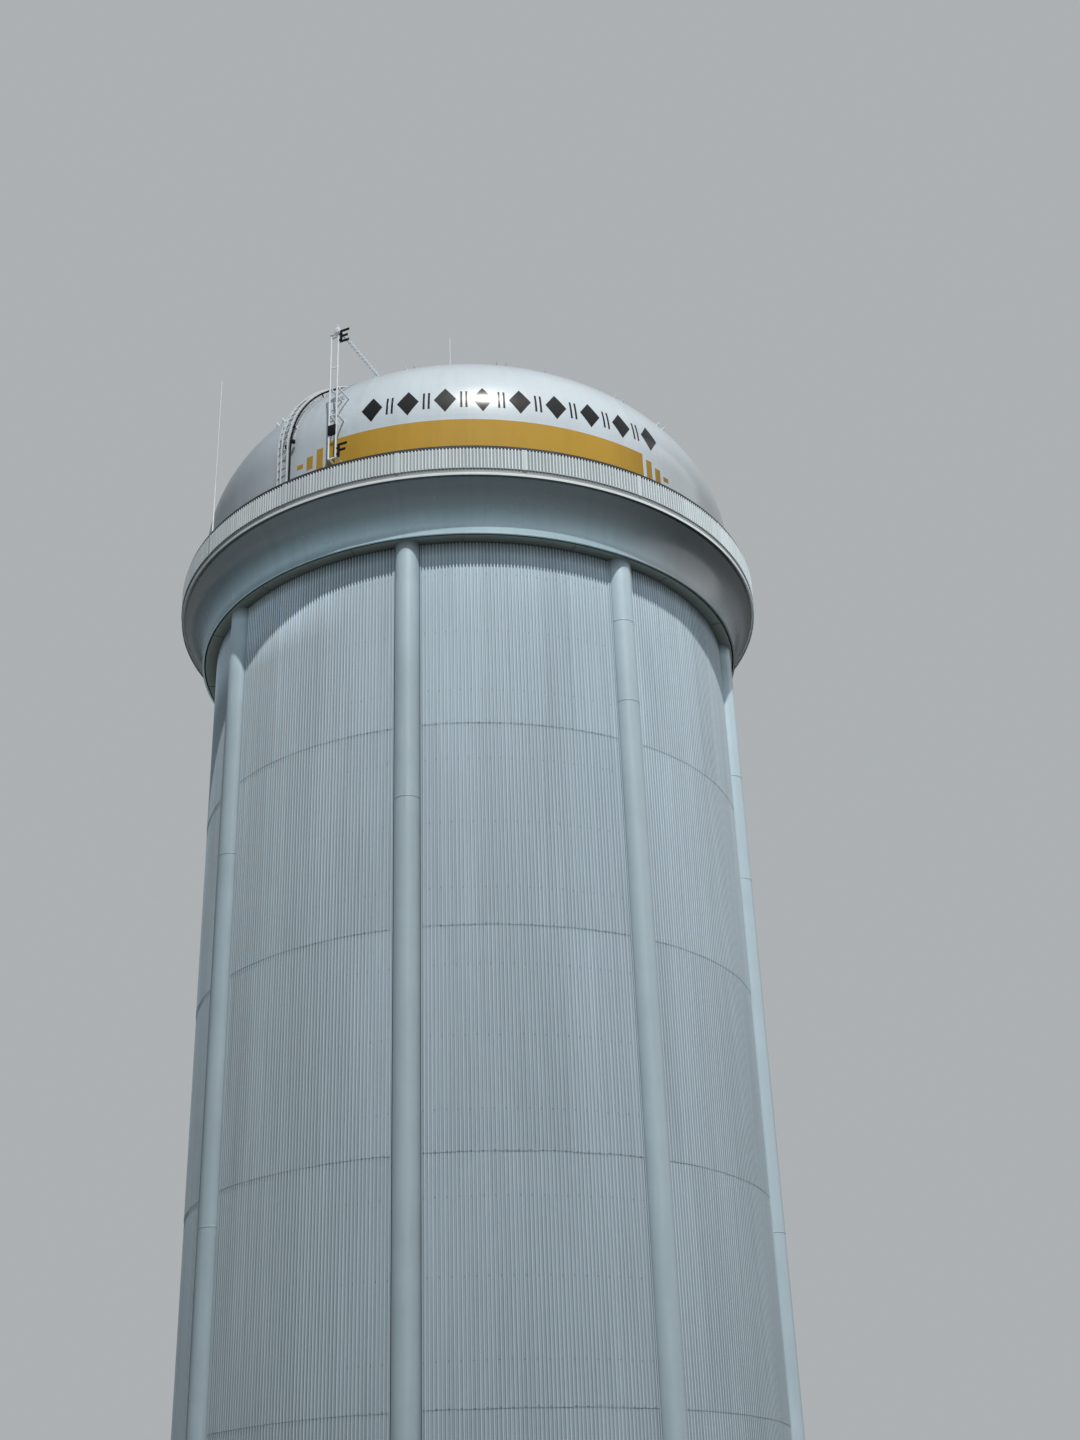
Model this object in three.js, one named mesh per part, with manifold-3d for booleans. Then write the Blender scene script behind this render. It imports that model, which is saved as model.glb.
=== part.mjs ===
// Clad water tower on eight legs, with a domed tank, a balcony and a level gauge on its front.
// Half-size model in millimetres, +Z up, with the origin at ground level on the tower's axis.
// An azimuth is counted from the front, -Y, towards +X.
import * as THREE from 'three';
import { mergeVertices } from 'three/addons/utils/BufferGeometryUtils.js';
import Module from 'manifold-3d';

const wasm = await Module();
wasm.setup();

// The real tower's sizes are given in full and brought to the model's scale here
const modelScale = 0.5;
const real = (size) => size * modelScale;
const degrees = (angle) => (angle * Math.PI) / 180;
const degreesAlong = (length, radius) => (length / radius) * (180 / Math.PI);

// Gap between solids that touch, at the model's own size
const seatGap = 0.3;

// Legs
const legCount = 8;
const legPitch = 360 / legCount;
const firstLegAzimuth = 22.5;
const legCircle = real(8497);
const legRadius = real(375);
const legSides = 24;
const legFlangeRadius = real(480);
const legFlangeThickness = real(50);

// Cladding, hung between the legs
const claddingRadius = real(8530);
const claddingThickness = real(100);
const claddingFoot = real(500);
const claddingTop = real(30885);

// Low wall under the cladding
const curbInnerRadius = real(7800);
const curbLegClearance = real(20);
const cutReach = real(10);

// Soffit, where the legs carry the tank
const soffitLevel = real(30910);
const soffitEdgeRadius = real(9030);
const girderDepth = real(200);

// Flared skirt under the balcony
const skirtThickness = real(60);
const rimBottom = real(32473);
const rimInnerRadius = real(9730);
const skirtSteps = 8;

// Balcony rim, a channel with its flanges outwards, in one section for each bay
const rimBandRadius = real(9800);
const rimBandTop = real(32610);
const rimWebRadius = real(9775);
const rimTopFlange = real(60);
const rimTop = real(32800);
const rimCutReach = real(100);

// Balcony floor
const floorThickness = real(40);
const floorTop = real(32600);

// Parapet
const parapetRadius = real(9825);
const parapetDepth = real(38);
const parapetBottom = real(32700);
const parapetTop = real(33410);
const parapetJointGap = real(3);
const topRailWidth = real(45);
const topRailHeight = real(50);
const topRailDrop = real(12);
const postCount = 24;
const postWidth = real(50);
const postInset = real(16);

// Tank: dished bottom, upright wall ring, domed roof
const tankRadius = real(9123);
const plateThickness = real(40);
const tankFoot = real(32500);
const tankShoulder = real(35225);
const domeRise = real(5681);
const bottomDrop = real(2925);
const roundSegments = 64;
const arcStep = 360 / roundSegments;
const domeSteps = 14;
const domeInnerSteps = 7;
const bottomSteps = 10;
const bottomInnerSteps = 6;

// Level gauge
const gaugeAzimuth = -35.8;
const gaugeCircle = real(9554);
const railSpacing = real(250);
const railRadius = real(30);
const railSides = 12;
const railBottom = real(33950);
const railTop = real(38780);
const crossBarDepth = real(30);
const crossBarHeight = real(50);
const crossBarLevels = [34000, 35650, 36700, 37500, 38700].map(real);
const armLevels = [34000, 35650, 36700].map(real);
const armWidth = real(50);
const targetWidth = real(280);
const targetHeight = real(380);
const targetPlate = real(10);
const targetLevel = real(35018);
const targetClearance = real(10);
const tongueClearance = real(1.6);
const tongueBack = real(20);
const headCentre = real(105);
const headWidth = real(150);
const headDepth = real(220);
const headHeight = real(260);
const headPlateDepth = real(100);
const headPlateThickness = real(20);
const sheaveRadius = real(90);
const sheaveWidth = real(30);
const sheaveSides = 16;
const conduitRadius = real(30);
const conduitLevel = real(39000);
const letterLeft = real(190);
const letterWidth = real(330);
const letterHeight = real(500);
const letterStroke = real(85);
const letterThickness = real(20);
const letterLug = real(60);
const letterLugShares = [0.25, 0.7];
const joinOverlap = real(2);
const letterELevel = real(38647);
const letterFLevel = real(34197);

// Roof ladder and its conduit
const ladderAzimuth = -49.2;
const ladderWidth = real(400);
const ladderStandOff = real(170);
const ladderFoot = real(32600);
const ladderTopRadius = real(1300);
const stringerWidth = real(20);
const stringerDepth = real(60);
const rungPitch = real(300);
const rungSize = real(24);
const bracketEvery = 8;
const ladderSteps = 26;
const ladderConduitRadius = real(22);
const ladderConduitOffset = real(300);
const ladderConduitHeight = real(110);

// Rod antennas; the one on the roof stands at the head of the ladder
const whipAzimuth = -69.5;
const whipCircle = real(9600);
const whipJoint = real(35941);
const whipTip = real(39953);
const roofRodCircle = real(896);
const roofRodJoint = real(42600);
const roofRodTip = real(45249);
const rodSleeveRadius = real(32);
const rodRadius = real(16);
const rodSides = 10;
const rodFlangeRadius = real(110);
const rodFlangeThickness = real(30);

// Paints and bare materials
const finish = (color, roughness, metalness) => ({ color, roughness, metalness });
const sheetPaint = finish(0xaebac0, 0.5, 0.2);
const legPaint = finish(0xa7b4ba, 0.45, 0.2);
const tankPaint = finish(0xdfe3e4, 0.3, 0.1);
const skirtPaint = finish(0x8f9ca3, 0.35, 0.2);
const soffitPaint = finish(0x6f7270, 0.6, 0.2);
const rimPaint = finish(0xd4dada, 0.4, 0.2);
const railPaint = finish(0xe8ebec, 0.45, 0.2);
const blackPaint = finish(0x15171a, 0.6, 0.1);
const galvanized = finish(0x9aa1a4, 0.5, 0.7);
const concrete = finish(0x9b978e, 0.9, 0);

const tower = new THREE.Group();

// A point on a circle round the axis, by azimuth in degrees
const ringPoint = (radius, azimuth) =>
  new THREE.Vector2(radius * Math.sin(degrees(azimuth)), -radius * Math.cos(degrees(azimuth)));

// Positions only, with shared vertices merged
function bare(geometry) {
  const clean = geometry.index ? geometry.toNonIndexed() : geometry.clone();
  clean.deleteAttribute('normal');
  clean.deleteAttribute('uv');
  return mergeVertices(clean, 1e-3);
}

// A closed mesh as a solid that can be joined and cut
function solid(geometry) {
  const merged = bare(geometry);
  const corners = merged.index.array;
  const triVerts = [];
  for (let i = 0; i < corners.length; i += 3) {
    const [a, b, c] = [corners[i], corners[i + 1], corners[i + 2]];
    if (a !== b && b !== c && c !== a) triVerts.push(a, b, c);
  }
  const vertProperties = new Float32Array(merged.attributes.position.array);
  const mesh = new wasm.Mesh({ numProp: 3, vertProperties, triVerts: new Uint32Array(triVerts) });
  return new wasm.Manifold(mesh);
}

// A solid back as a geometry
function toGeometry(body) {
  const mesh = body.getMesh();
  const geometry = new THREE.BufferGeometry();
  geometry.setAttribute('position', new THREE.BufferAttribute(new Float32Array(mesh.vertProperties), 3));
  geometry.setIndex(new THREE.BufferAttribute(new Uint32Array(mesh.triVerts), 1));
  return geometry;
}

const joined = (bodies) => bodies.reduce((whole, body) => whole.add(body));

// A ring or full solid of revolution; the profile runs anticlockwise with radius to the right
function turned(profile, segments = roundSegments) {
  const points = profile.map(([radius, level]) => new THREE.Vector2(radius, level));
  const onAxis = profile[0][0] === 0 && profile[profile.length - 1][0] === 0;
  if (!onAxis) points.push(points[0].clone());
  return new THREE.LatheGeometry(points, segments).rotateX(Math.PI / 2);
}

// A wall along an arc between two azimuths
function arcWall(innerRadius, outerRadius, from, to, bottom, top) {
  const steps = Math.max(1, Math.round((to - from) / arcStep));
  const shape = new THREE.Shape();
  const outline = [];
  for (let i = 0; i <= steps; i += 1) outline.push(ringPoint(outerRadius, from + ((to - from) * i) / steps));
  for (let i = steps; i >= 0; i -= 1) outline.push(ringPoint(innerRadius, from + ((to - from) * i) / steps));
  shape.setFromPoints(outline);
  const geometry = new THREE.ExtrudeGeometry(shape, { depth: top - bottom, bevelEnabled: false });
  return geometry.translate(0, 0, bottom);
}

// A box given by its lowest and highest corners
function block([x0, y0, z0], [x1, y1, z1]) {
  const geometry = new THREE.BoxGeometry(x1 - x0, y1 - y0, z1 - z0);
  return geometry.translate((x0 + x1) / 2, (y0 + y1) / 2, (z0 + z1) / 2);
}

// An upright round bar
function bar(radius, bottom, top, sides) {
  const geometry = new THREE.CylinderGeometry(radius, radius, top - bottom, sides);
  return geometry.rotateX(Math.PI / 2).translate(0, 0, (bottom + top) / 2);
}

// Adds one named sub-part to a group
function addPart(name, geometry, paint, parent = tower) {
  const part = new THREE.Mesh(geometry, new THREE.MeshStandardMaterial(paint));
  part.name = name;
  parent.add(part);
  return part;
}

// A group that stands at an azimuth, with its own -Y facing outwards
function standing(azimuth, radius) {
  const group = new THREE.Group();
  const place = ringPoint(radius, azimuth);
  group.position.set(place.x, place.y, 0);
  group.rotation.z = degrees(azimuth);
  tower.add(group);
  return group;
}

// Radius of the tank's outside at a level above its shoulder
const domeRadiusAt = (level) => tankRadius * Math.sqrt(1 - ((level - tankShoulder) / domeRise) ** 2);
const bottomRadiusAt = (level) => tankRadius * Math.sqrt(1 - ((tankFoot - level) / bottomDrop) ** 2);

// Points of a quarter ellipse from the wall to the axis, rise negative for the bottom
function quarterEllipse(radius, rise, base, steps) {
  const points = [];
  for (let i = 0; i < steps; i += 1) {
    const turn = degrees((90 * i) / steps);
    points.push([radius * Math.cos(turn), base + rise * Math.sin(turn)]);
  }
  points.push([0, base + rise]);
  return points;
}

// The whole tank as one plain solid, grown by the seat gap, to cut what is fixed to it
function tankEnvelope() {
  const grown = tankRadius + seatGap;
  const roof = quarterEllipse(grown, domeRise + seatGap, tankShoulder, domeSteps);
  return solid(turned([[0, tankFoot], [grown, tankFoot], ...roof]));
}

const envelope = tankEnvelope();

// The same cut for a piece that stands in its own group
function envelopeFor(group) {
  group.updateMatrix();
  const inverse = group.matrix.clone().invert();
  return solid(toGeometry(envelope).applyMatrix4(inverse));
}

function addLegs() {
  const top = soffitLevel - seatGap;
  const profile = [
    [0, 0],
    [legFlangeRadius, 0],
    [legFlangeRadius, legFlangeThickness],
    [legRadius, legFlangeThickness],
    [legRadius, top],
    [0, top],
  ];
  for (let i = 0; i < legCount; i += 1) {
    const leg = standing(firstLegAzimuth + i * legPitch, legCircle);
    addPart(`column_${i + 1}`, turned(profile, legSides), legPaint, leg);
  }
}

function addCladding() {
  const inset = (Math.asin((legRadius + seatGap) / legCircle) * 180) / Math.PI;
  const inner = claddingRadius - claddingThickness;
  for (let i = 0; i < legCount; i += 1) {
    const from = firstLegAzimuth + i * legPitch + inset;
    const to = firstLegAzimuth + (i + 1) * legPitch - inset;
    const panel = arcWall(inner, claddingRadius, from, to, claddingFoot, claddingTop);
    addPart(`cladding_${i + 1}`, panel, sheetPaint);
  }
}

function addCurb() {
  const top = claddingFoot - seatGap;
  const ring = turned([
    [curbInnerRadius, 0],
    [claddingRadius, 0],
    [claddingRadius, top],
    [curbInnerRadius, top],
  ]);
  let curb = solid(ring);
  for (let i = 0; i < legCount; i += 1) {
    const place = ringPoint(legCircle, firstLegAzimuth + i * legPitch);
    const notch = bar(legFlangeRadius + curbLegClearance, -cutReach, claddingFoot, legSides);
    curb = curb.subtract(solid(notch.translate(place.x, place.y, 0)));
  }
  addPart('foundation_curb', toGeometry(curb), concrete);
}

function addGirder() {
  const top = soffitLevel + girderDepth;
  const outer = soffitEdgeRadius - skirtThickness - seatGap;
  const girder = turned([
    [bottomRadiusAt(soffitLevel) + seatGap, soffitLevel],
    [outer, soffitLevel],
    [outer, top],
    [bottomRadiusAt(top) + seatGap, top],
  ]);
  addPart('ring_girder', girder, soffitPaint);
}

function addSkirt() {
  const edge = rimInnerRadius - seatGap;
  const flare = edge - soffitEdgeRadius;
  const rise = rimBottom - soffitLevel;
  const innerRise = floorTop - floorThickness - seatGap - soffitLevel;
  const outside = [];
  const inside = [];
  for (let i = 0; i <= skirtSteps; i += 1) {
    const turn = degrees((90 * i) / skirtSteps);
    outside.push([edge - flare * Math.cos(turn), soffitLevel + rise * Math.sin(turn)]);
    const inset = (flare + skirtThickness) * Math.cos(turn);
    inside.push([edge - inset, soffitLevel + innerRise * Math.sin(turn)]);
  }
  addPart('balcony_skirt', turned([...outside, ...inside.reverse()]), skirtPaint);
}

function addRim() {
  const flange = parapetRadius - parapetDepth - seatGap;
  const rim = turned([
    [rimInnerRadius, rimBottom],
    [rimBandRadius, rimBottom],
    [rimBandRadius, rimBandTop],
    [rimWebRadius, rimBandTop],
    [rimWebRadius, rimTop - rimTopFlange],
    [flange, rimTop - rimTopFlange],
    [flange, rimTop],
    [rimInnerRadius, rimTop],
  ]);
  const ring = solid(rim);
  const half = degreesAlong(parapetJointGap, parapetRadius) / 2;
  const inner = rimInnerRadius - rimCutReach;
  const outer = flange + rimCutReach;
  for (let i = 0; i < legCount; i += 1) {
    const from = i * legPitch + half;
    const to = (i + 1) * legPitch - half;
    const wedge = arcWall(inner, outer, from, to, rimBottom - cutReach, rimTop + cutReach);
    addPart(`balcony_rim_${i + 1}`, toGeometry(ring.intersect(solid(wedge))), rimPaint);
  }
}

function addFloor() {
  const bottom = floorTop - floorThickness;
  const outer = rimInnerRadius - seatGap;
  const ring = turned([[tankRadius, bottom], [outer, bottom], [outer, floorTop], [tankRadius, floorTop]]);
  addPart('balcony_floor', toGeometry(solid(ring).subtract(envelope)), galvanized);
}

function addParapet() {
  const inner = parapetRadius - parapetDepth;
  const half = degreesAlong(parapetJointGap, parapetRadius) / 2;
  for (let i = 0; i < legCount; i += 1) {
    const from = i * legPitch + half;
    const sheet = arcWall(inner, parapetRadius, from, from + legPitch - 2 * half, parapetBottom, parapetTop);
    addPart(`parapet_${i + 1}`, sheet, sheetPaint);
  }
  const outer = inner - seatGap;
  const railFoot = parapetTop - topRailDrop - topRailHeight;
  const railHead = parapetTop - topRailDrop;
  const rail = turned([
    [outer - topRailWidth, railFoot],
    [outer, railFoot],
    [outer, railHead],
    [outer - topRailWidth, railHead],
  ]);
  const posts = [];
  for (let i = 0; i < postCount; i += 1) {
    const front = -outer + postInset;
    const foot = [-postWidth / 2, front, rimTop + seatGap];
    const post = block(foot, [postWidth / 2, front + postWidth, railFoot + topRailHeight / 2]);
    posts.push(solid(post.rotateZ(degrees(((i + 0.5) * 360) / postCount))));
  }
  addPart('parapet_frame', toGeometry(joined([solid(rail), ...posts])), galvanized);
}

function addTank() {
  const inner = tankRadius - plateThickness;
  const shellTop = tankShoulder - seatGap;
  const shell = turned([
    [inner, tankFoot],
    [tankRadius, tankFoot],
    [tankRadius, shellTop],
    [inner, shellTop],
  ]);
  addPart('tank_shell', shell, tankPaint);

  const roofOut = quarterEllipse(tankRadius, domeRise, tankShoulder, domeSteps);
  const roofIn = quarterEllipse(inner, domeRise - plateThickness, tankShoulder, domeInnerSteps);
  addPart('tank_roof', turned([...roofOut.reverse(), ...roofIn].reverse()), tankPaint);

  const seat = tankFoot - seatGap;
  const bottomOut = quarterEllipse(tankRadius, -bottomDrop, tankFoot, bottomSteps);
  bottomOut.push(...[soffitLevel, soffitLevel + girderDepth].map((level) => [bottomRadiusAt(level), level]));
  bottomOut.sort((a, b) => b[1] - a[1]);
  bottomOut[0][1] = seat;
  const bottomIn = quarterEllipse(inner, plateThickness - bottomDrop, tankFoot, bottomInnerSteps);
  bottomIn[0][1] = seat;
  addPart('tank_bottom', turned([...bottomOut.reverse(), ...bottomIn]), skirtPaint);
}

// Letter strokes as boxes in the gauge's own frame, stem first
function letter(strokes, level) {
  const front = -letterThickness / 2;
  const foot = level - letterHeight / 2;
  const head = level + letterHeight / 2;
  const stem = block([letterLeft, front, foot], [letterLeft + letterStroke, -front, head]);
  const parts = [solid(stem)];
  strokes.forEach(([share, reach]) => {
    const low = foot + (letterHeight - letterStroke) * share;
    const right = letterLeft + letterWidth * reach;
    parts.push(solid(block([letterLeft + joinOverlap, front, low], [right, -front, low + letterStroke])));
  });
  const lugStart = railSpacing / 2 + railRadius + seatGap;
  letterLugShares.forEach((share) => {
    const low = foot + letterHeight * share - letterLug / 2;
    parts.push(solid(block([lugStart, front, low], [letterLeft + joinOverlap, -front, low + letterLug])));
  });
  return toGeometry(joined(parts));
}

function addGauge() {
  const gauge = standing(gaugeAzimuth, gaugeCircle);
  const cut = envelopeFor(gauge);
  const half = railSpacing / 2;

  const rails = [-half, half].map((x) => {
    const rail = bar(railRadius, railBottom, railTop, railSides);
    return solid(rail.translate(x, 0, 0));
  });
  const bars = crossBarLevels.map((level) => {
    const low = level - crossBarHeight / 2;
    const high = low + crossBarHeight;
    const back = railRadius + crossBarDepth;
    return solid(block([-half - railRadius, railRadius / 2, low], [half + railRadius, back, high]));
  });
  const notch = solid(block(
    [-half + railRadius, -railRadius, railBottom],
    [half - railRadius, railRadius, railTop],
  ));
  const arms = [];
  armLevels.forEach((level) => {
    const reach = gaugeCircle - domeRadiusAt(Math.max(level, tankShoulder)) + armWidth;
    [-half, half].forEach((x) => {
      const low = level - armWidth / 2;
      const corner = [x + armWidth / 2, reach, low + armWidth];
      arms.push(solid(block([x - armWidth / 2, railRadius, low], corner)));
    });
  });
  const frame = joined([...rails, joined(bars).subtract(notch), ...arms]).subtract(cut);
  addPart('gauge_rails', toGeometry(frame), railPaint, gauge);

  const headFoot = railTop + seatGap;
  const headTop = headFoot + headHeight;
  const headLeft = headCentre - headWidth / 2;
  const box = block([headLeft, -headDepth / 2, headFoot], [headLeft + headWidth, headDepth / 2, headTop]);
  const plateCorner = [headCentre, headPlateDepth / 2, headFoot + headPlateThickness];
  const headPlate = block([-half - railRadius, -headPlateDepth / 2, headFoot], plateCorner);
  const sheave = new THREE.CylinderGeometry(sheaveRadius, sheaveRadius, sheaveWidth, sheaveSides);
  sheave.rotateZ(Math.PI / 2).translate(headCentre, 0, headTop);
  addPart('gauge_head', toGeometry(joined([solid(box), solid(headPlate), solid(sheave)])), railPaint, gauge);

  const conduitLength = gaugeCircle - domeRadiusAt(conduitLevel) + armWidth;
  const conduit = new THREE.CylinderGeometry(conduitRadius, conduitRadius, conduitLength, railSides);
  conduit.translate(headCentre, conduitLength / 2 + headDepth / 2 + seatGap, conduitLevel);
  addPart('gauge_conduit', toGeometry(solid(conduit).subtract(cut)), railPaint, gauge);

  addPart('gauge_letter_e', letter([[0, 1], [0.5, 0.85], [1, 1]], letterELevel), blackPaint, gauge);
  addPart('gauge_letter_f', letter([[0.5, 0.85], [1, 1]], letterFLevel), blackPaint, gauge);

  const plateBack = -railRadius - targetClearance;
  const low = targetLevel - targetHeight / 2;
  const high = low + targetHeight;
  const plate = block([-targetWidth / 2, plateBack - targetPlate, low], [targetWidth / 2, plateBack, high]);
  const tongueHalf = half - railRadius - tongueClearance;
  const tongueFront = [-tongueHalf, plateBack - joinOverlap, low + targetPlate];
  const tongue = block(tongueFront, [tongueHalf, tongueBack, high - targetPlate]);
  addPart('gauge_target', toGeometry(solid(plate).add(solid(tongue))), blackPaint, gauge);
}

// The tank's outline from the balcony to a radius near the top, at a distance outside it
function outlineCurve(distance, foot, topRadius) {
  const points = [new THREE.Vector2(tankRadius + distance, foot)];
  const last = Math.acos(topRadius / tankRadius);
  for (let i = 0; i <= ladderSteps; i += 1) {
    const turn = (last * i) / ladderSteps;
    const normal = new THREE.Vector2(Math.cos(turn) / tankRadius, Math.sin(turn) / domeRise).normalize();
    const point = new THREE.Vector2(tankRadius * Math.cos(turn), tankShoulder + domeRise * Math.sin(turn));
    points.push(point.add(normal.multiplyScalar(distance)));
  }
  return points;
}

// A flat bar that follows an outline in its own upright plane, x wide, from one distance to another
function outlineStrip(x, width, near, far, foot, topRadius) {
  const shape = new THREE.Shape();
  const outline = [...outlineCurve(near, foot, topRadius), ...outlineCurve(far, foot, topRadius).reverse()];
  shape.setFromPoints(outline.map((point) => new THREE.Vector2(point.x, point.y)));
  const strip = new THREE.ExtrudeGeometry(shape, { depth: width, bevelEnabled: false });
  const turn = new THREE.Matrix4().makeBasis(
    new THREE.Vector3(0, -1, 0),
    new THREE.Vector3(0, 0, 1),
    new THREE.Vector3(-1, 0, 0),
  );
  return strip.applyMatrix4(turn).translate(x + width / 2, 0, 0);
}

// Places at equal steps along an outline, each with its slope
function outlinePlaces(distance, foot, topRadius, pitch) {
  const curve = new THREE.CurvePath();
  const points = outlineCurve(distance, foot, topRadius);
  for (let i = 1; i < points.length; i += 1) curve.add(new THREE.LineCurve(points[i - 1], points[i]));
  const count = Math.floor(curve.getLength() / pitch);
  const places = [];
  for (let i = 1; i <= count; i += 1) {
    const at = (i * pitch - pitch / 2) / curve.getLength();
    places.push({ point: curve.getPointAt(at), tangent: curve.getTangentAt(at) });
  }
  return places;
}

function addLadder() {
  const group = standing(ladderAzimuth, 0);
  const cut = envelopeFor(group);
  const near = ladderStandOff - stringerDepth / 2;
  const far = ladderStandOff + stringerDepth / 2;
  const side = ladderWidth / 2;
  const foot = ladderFoot + seatGap;
  const pieces = [-side, side].map((x) => {
    const stringer = outlineStrip(x, stringerWidth, near, far, foot, ladderTopRadius);
    return solid(stringer);
  });
  outlinePlaces(ladderStandOff, foot, ladderTopRadius, rungPitch).forEach(({ point, tangent }, index) => {
    const slope = Math.atan2(tangent.y, -tangent.x) - Math.PI / 2;
    const rung = new THREE.BoxGeometry(ladderWidth, rungSize, rungSize);
    rung.rotateX(slope).translate(0, -point.x, point.y);
    pieces.push(solid(rung));
    if (index % bracketEvery !== bracketEvery / 2) return;
    [-side, side].forEach((x) => {
      const clip = new THREE.BoxGeometry(stringerWidth, ladderStandOff * 2, stringerDepth);
      clip.translate(0, ladderStandOff, 0).rotateX(slope).translate(x, -point.x, point.y);
      pieces.push(solid(clip));
    });
  });
  addPart('roof_ladder', toGeometry(joined(pieces).subtract(cut)), railPaint, group);

  const pipeNear = ladderConduitHeight - ladderConduitRadius;
  const pipeFar = ladderConduitHeight + ladderConduitRadius;
  const pipeWidth = 2 * ladderConduitRadius;
  const pipe = outlineStrip(ladderConduitOffset, pipeWidth, pipeNear, pipeFar, foot, ladderTopRadius);
  const clips = outlinePlaces(ladderConduitHeight, foot, ladderTopRadius, rungPitch * bracketEvery);
  const saddles = clips.map(({ point, tangent }) => {
    const slope = Math.atan2(tangent.y, -tangent.x) - Math.PI / 2;
    const saddle = new THREE.BoxGeometry(ladderConduitRadius, ladderConduitHeight * 2, ladderConduitRadius);
    saddle.translate(0, ladderConduitHeight, 0).rotateX(slope);
    return solid(saddle.translate(ladderConduitOffset, -point.x, point.y));
  });
  addPart('ladder_conduit', toGeometry(joined([solid(pipe), ...saddles]).subtract(cut)), blackPaint, group);
}

function rod(foot, flangeTop, joint, tip) {
  return turned([
    [0, foot],
    [rodFlangeRadius, foot],
    [rodFlangeRadius, flangeTop],
    [rodSleeveRadius, flangeTop],
    [rodSleeveRadius, joint],
    [rodRadius, joint],
    [rodRadius, tip],
    [0, tip],
  ], rodSides);
}

function addRods() {
  const whipFoot = floorTop + seatGap;
  const whip = rod(whipFoot, whipFoot + rodFlangeThickness, whipJoint, whipTip);
  addPart('whip_antenna', whip, railPaint, standing(whipAzimuth, whipCircle));

  const group = standing(ladderAzimuth, roofRodCircle);
  const roofLevel = tankShoulder + domeRise;
  const mast = rod(roofLevel - rodFlangeRadius, roofLevel + rodFlangeThickness, roofRodJoint, roofRodTip);
  addPart('roof_antenna', toGeometry(solid(mast).subtract(envelopeFor(group))), railPaint, group);
}

addLegs();
addCladding();
addCurb();
addGirder();
addSkirt();
addRim();
addFloor();
addParapet();
addTank();
addGauge();
addLadder();
addRods();

export default tower;
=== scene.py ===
import math
import random

import bmesh
import bpy
from mathutils import Matrix, Vector


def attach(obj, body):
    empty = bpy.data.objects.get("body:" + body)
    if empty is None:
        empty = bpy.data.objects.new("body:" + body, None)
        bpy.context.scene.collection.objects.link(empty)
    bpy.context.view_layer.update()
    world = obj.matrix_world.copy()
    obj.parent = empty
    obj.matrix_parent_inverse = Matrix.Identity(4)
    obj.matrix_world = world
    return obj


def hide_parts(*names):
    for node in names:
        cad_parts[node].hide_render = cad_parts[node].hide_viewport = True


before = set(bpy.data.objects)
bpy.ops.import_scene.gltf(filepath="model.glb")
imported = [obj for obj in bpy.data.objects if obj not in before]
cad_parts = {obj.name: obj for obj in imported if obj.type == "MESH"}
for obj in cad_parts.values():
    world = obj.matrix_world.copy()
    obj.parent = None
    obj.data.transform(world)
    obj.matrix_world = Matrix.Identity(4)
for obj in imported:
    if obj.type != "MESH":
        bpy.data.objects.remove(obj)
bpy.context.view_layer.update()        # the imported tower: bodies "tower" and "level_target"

# Clad water tower at half size, in metres, +Z up. An azimuth is counted from the front, -Y, towards +X.
dice = random.Random(1974)


# Sizes that come from the frame


def nodeReach(node):
    points = [v.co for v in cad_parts[node].data.vertices]
    radii = [math.hypot(p.x, p.y) for p in points]
    levels = [p.z for p in points]
    return {"inner": min(radii), "outer": max(radii), "bottom": min(levels), "top": max(levels)}


# A point at a radius round the tower's axis; the turn is an azimuth in radians
def ringPoint(radius, turn, level):
    return Vector((radius * math.sin(turn), -radius * math.cos(turn), level))


# A place at an azimuth, with its own -Y facing outwards and +X to the right
def standing(azimuth, radius=0.0, level=0.0):
    turn = math.radians(azimuth)
    return Matrix.Translation(ringPoint(radius, turn, level)) @ Matrix.Rotation(turn, 4, "Z")


# Lowest and highest corner of a node, in a place of its own
def localReach(node, place):
    back = place.inverted()
    points = [back @ v.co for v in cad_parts[node].data.vertices]
    return [Vector([pick(p[i] for p in points) for i in range(3)]) for pick in (min, max)]


legs = {"count": 8, "firstAzimuth": 22.5, "sides": 72}
legs["pitch"] = 360 / legs["count"]
firstLeg = nodeReach("column_1")
legCircle = (firstLeg["inner"] + firstLeg["outer"]) / 2
wall = nodeReach("cladding_1")
tank = nodeReach("tank_shell")
roof = nodeReach("tank_roof")
parapet = nodeReach("parapet_1")
rim = nodeReach("balcony_rim_1")
deck = nodeReach("balcony_floor")
girder = nodeReach("ring_girder")
curb = nodeReach("foundation_curb")
roundSteps = 360


def legAzimuth(index):
    return legs["firstAzimuth"] + index * legs["pitch"]


# Mesh tools

softEdge = 0.002         # usual rounding of a small bar
fineEdge = 0.001


# Each face carries two values for its finish: tone, a sheet's own or the painted shade under a weld's
# bead, and a second value, the painted shade in a rib's valley and down the shaded side of a leg
def newShape():
    shape = bmesh.new()
    for value in ("tone", "dirtAndShade"):
        shape.faces.layers.float.new(value)
    return shape


def addObject(name, data):
    made = bpy.data.objects.new(name, data)
    bpy.context.scene.collection.objects.link(made)
    return made


# Turns a shape into an object with one finish
def addMesh(name, shape, material):
    mesh = bpy.data.meshes.new(name)
    shape.to_mesh(mesh)
    shape.free()
    mesh.materials.append(material)
    return addObject(name, mesh)


# Makes a shape's normals agree, makes its object and hands it to the frame
def addPiece(name, shape, material, nodes=(), body="tower", sharp=32):
    bmesh.ops.recalc_face_normals(shape, faces=shape.faces)
    piece = addMesh(name, shape, material)
    piece.data.shade_smooth()
    piece.data.set_sharp_from_angle(angle=math.radians(sharp))
    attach(piece, body)
    if nodes:
        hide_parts(*nodes)


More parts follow.
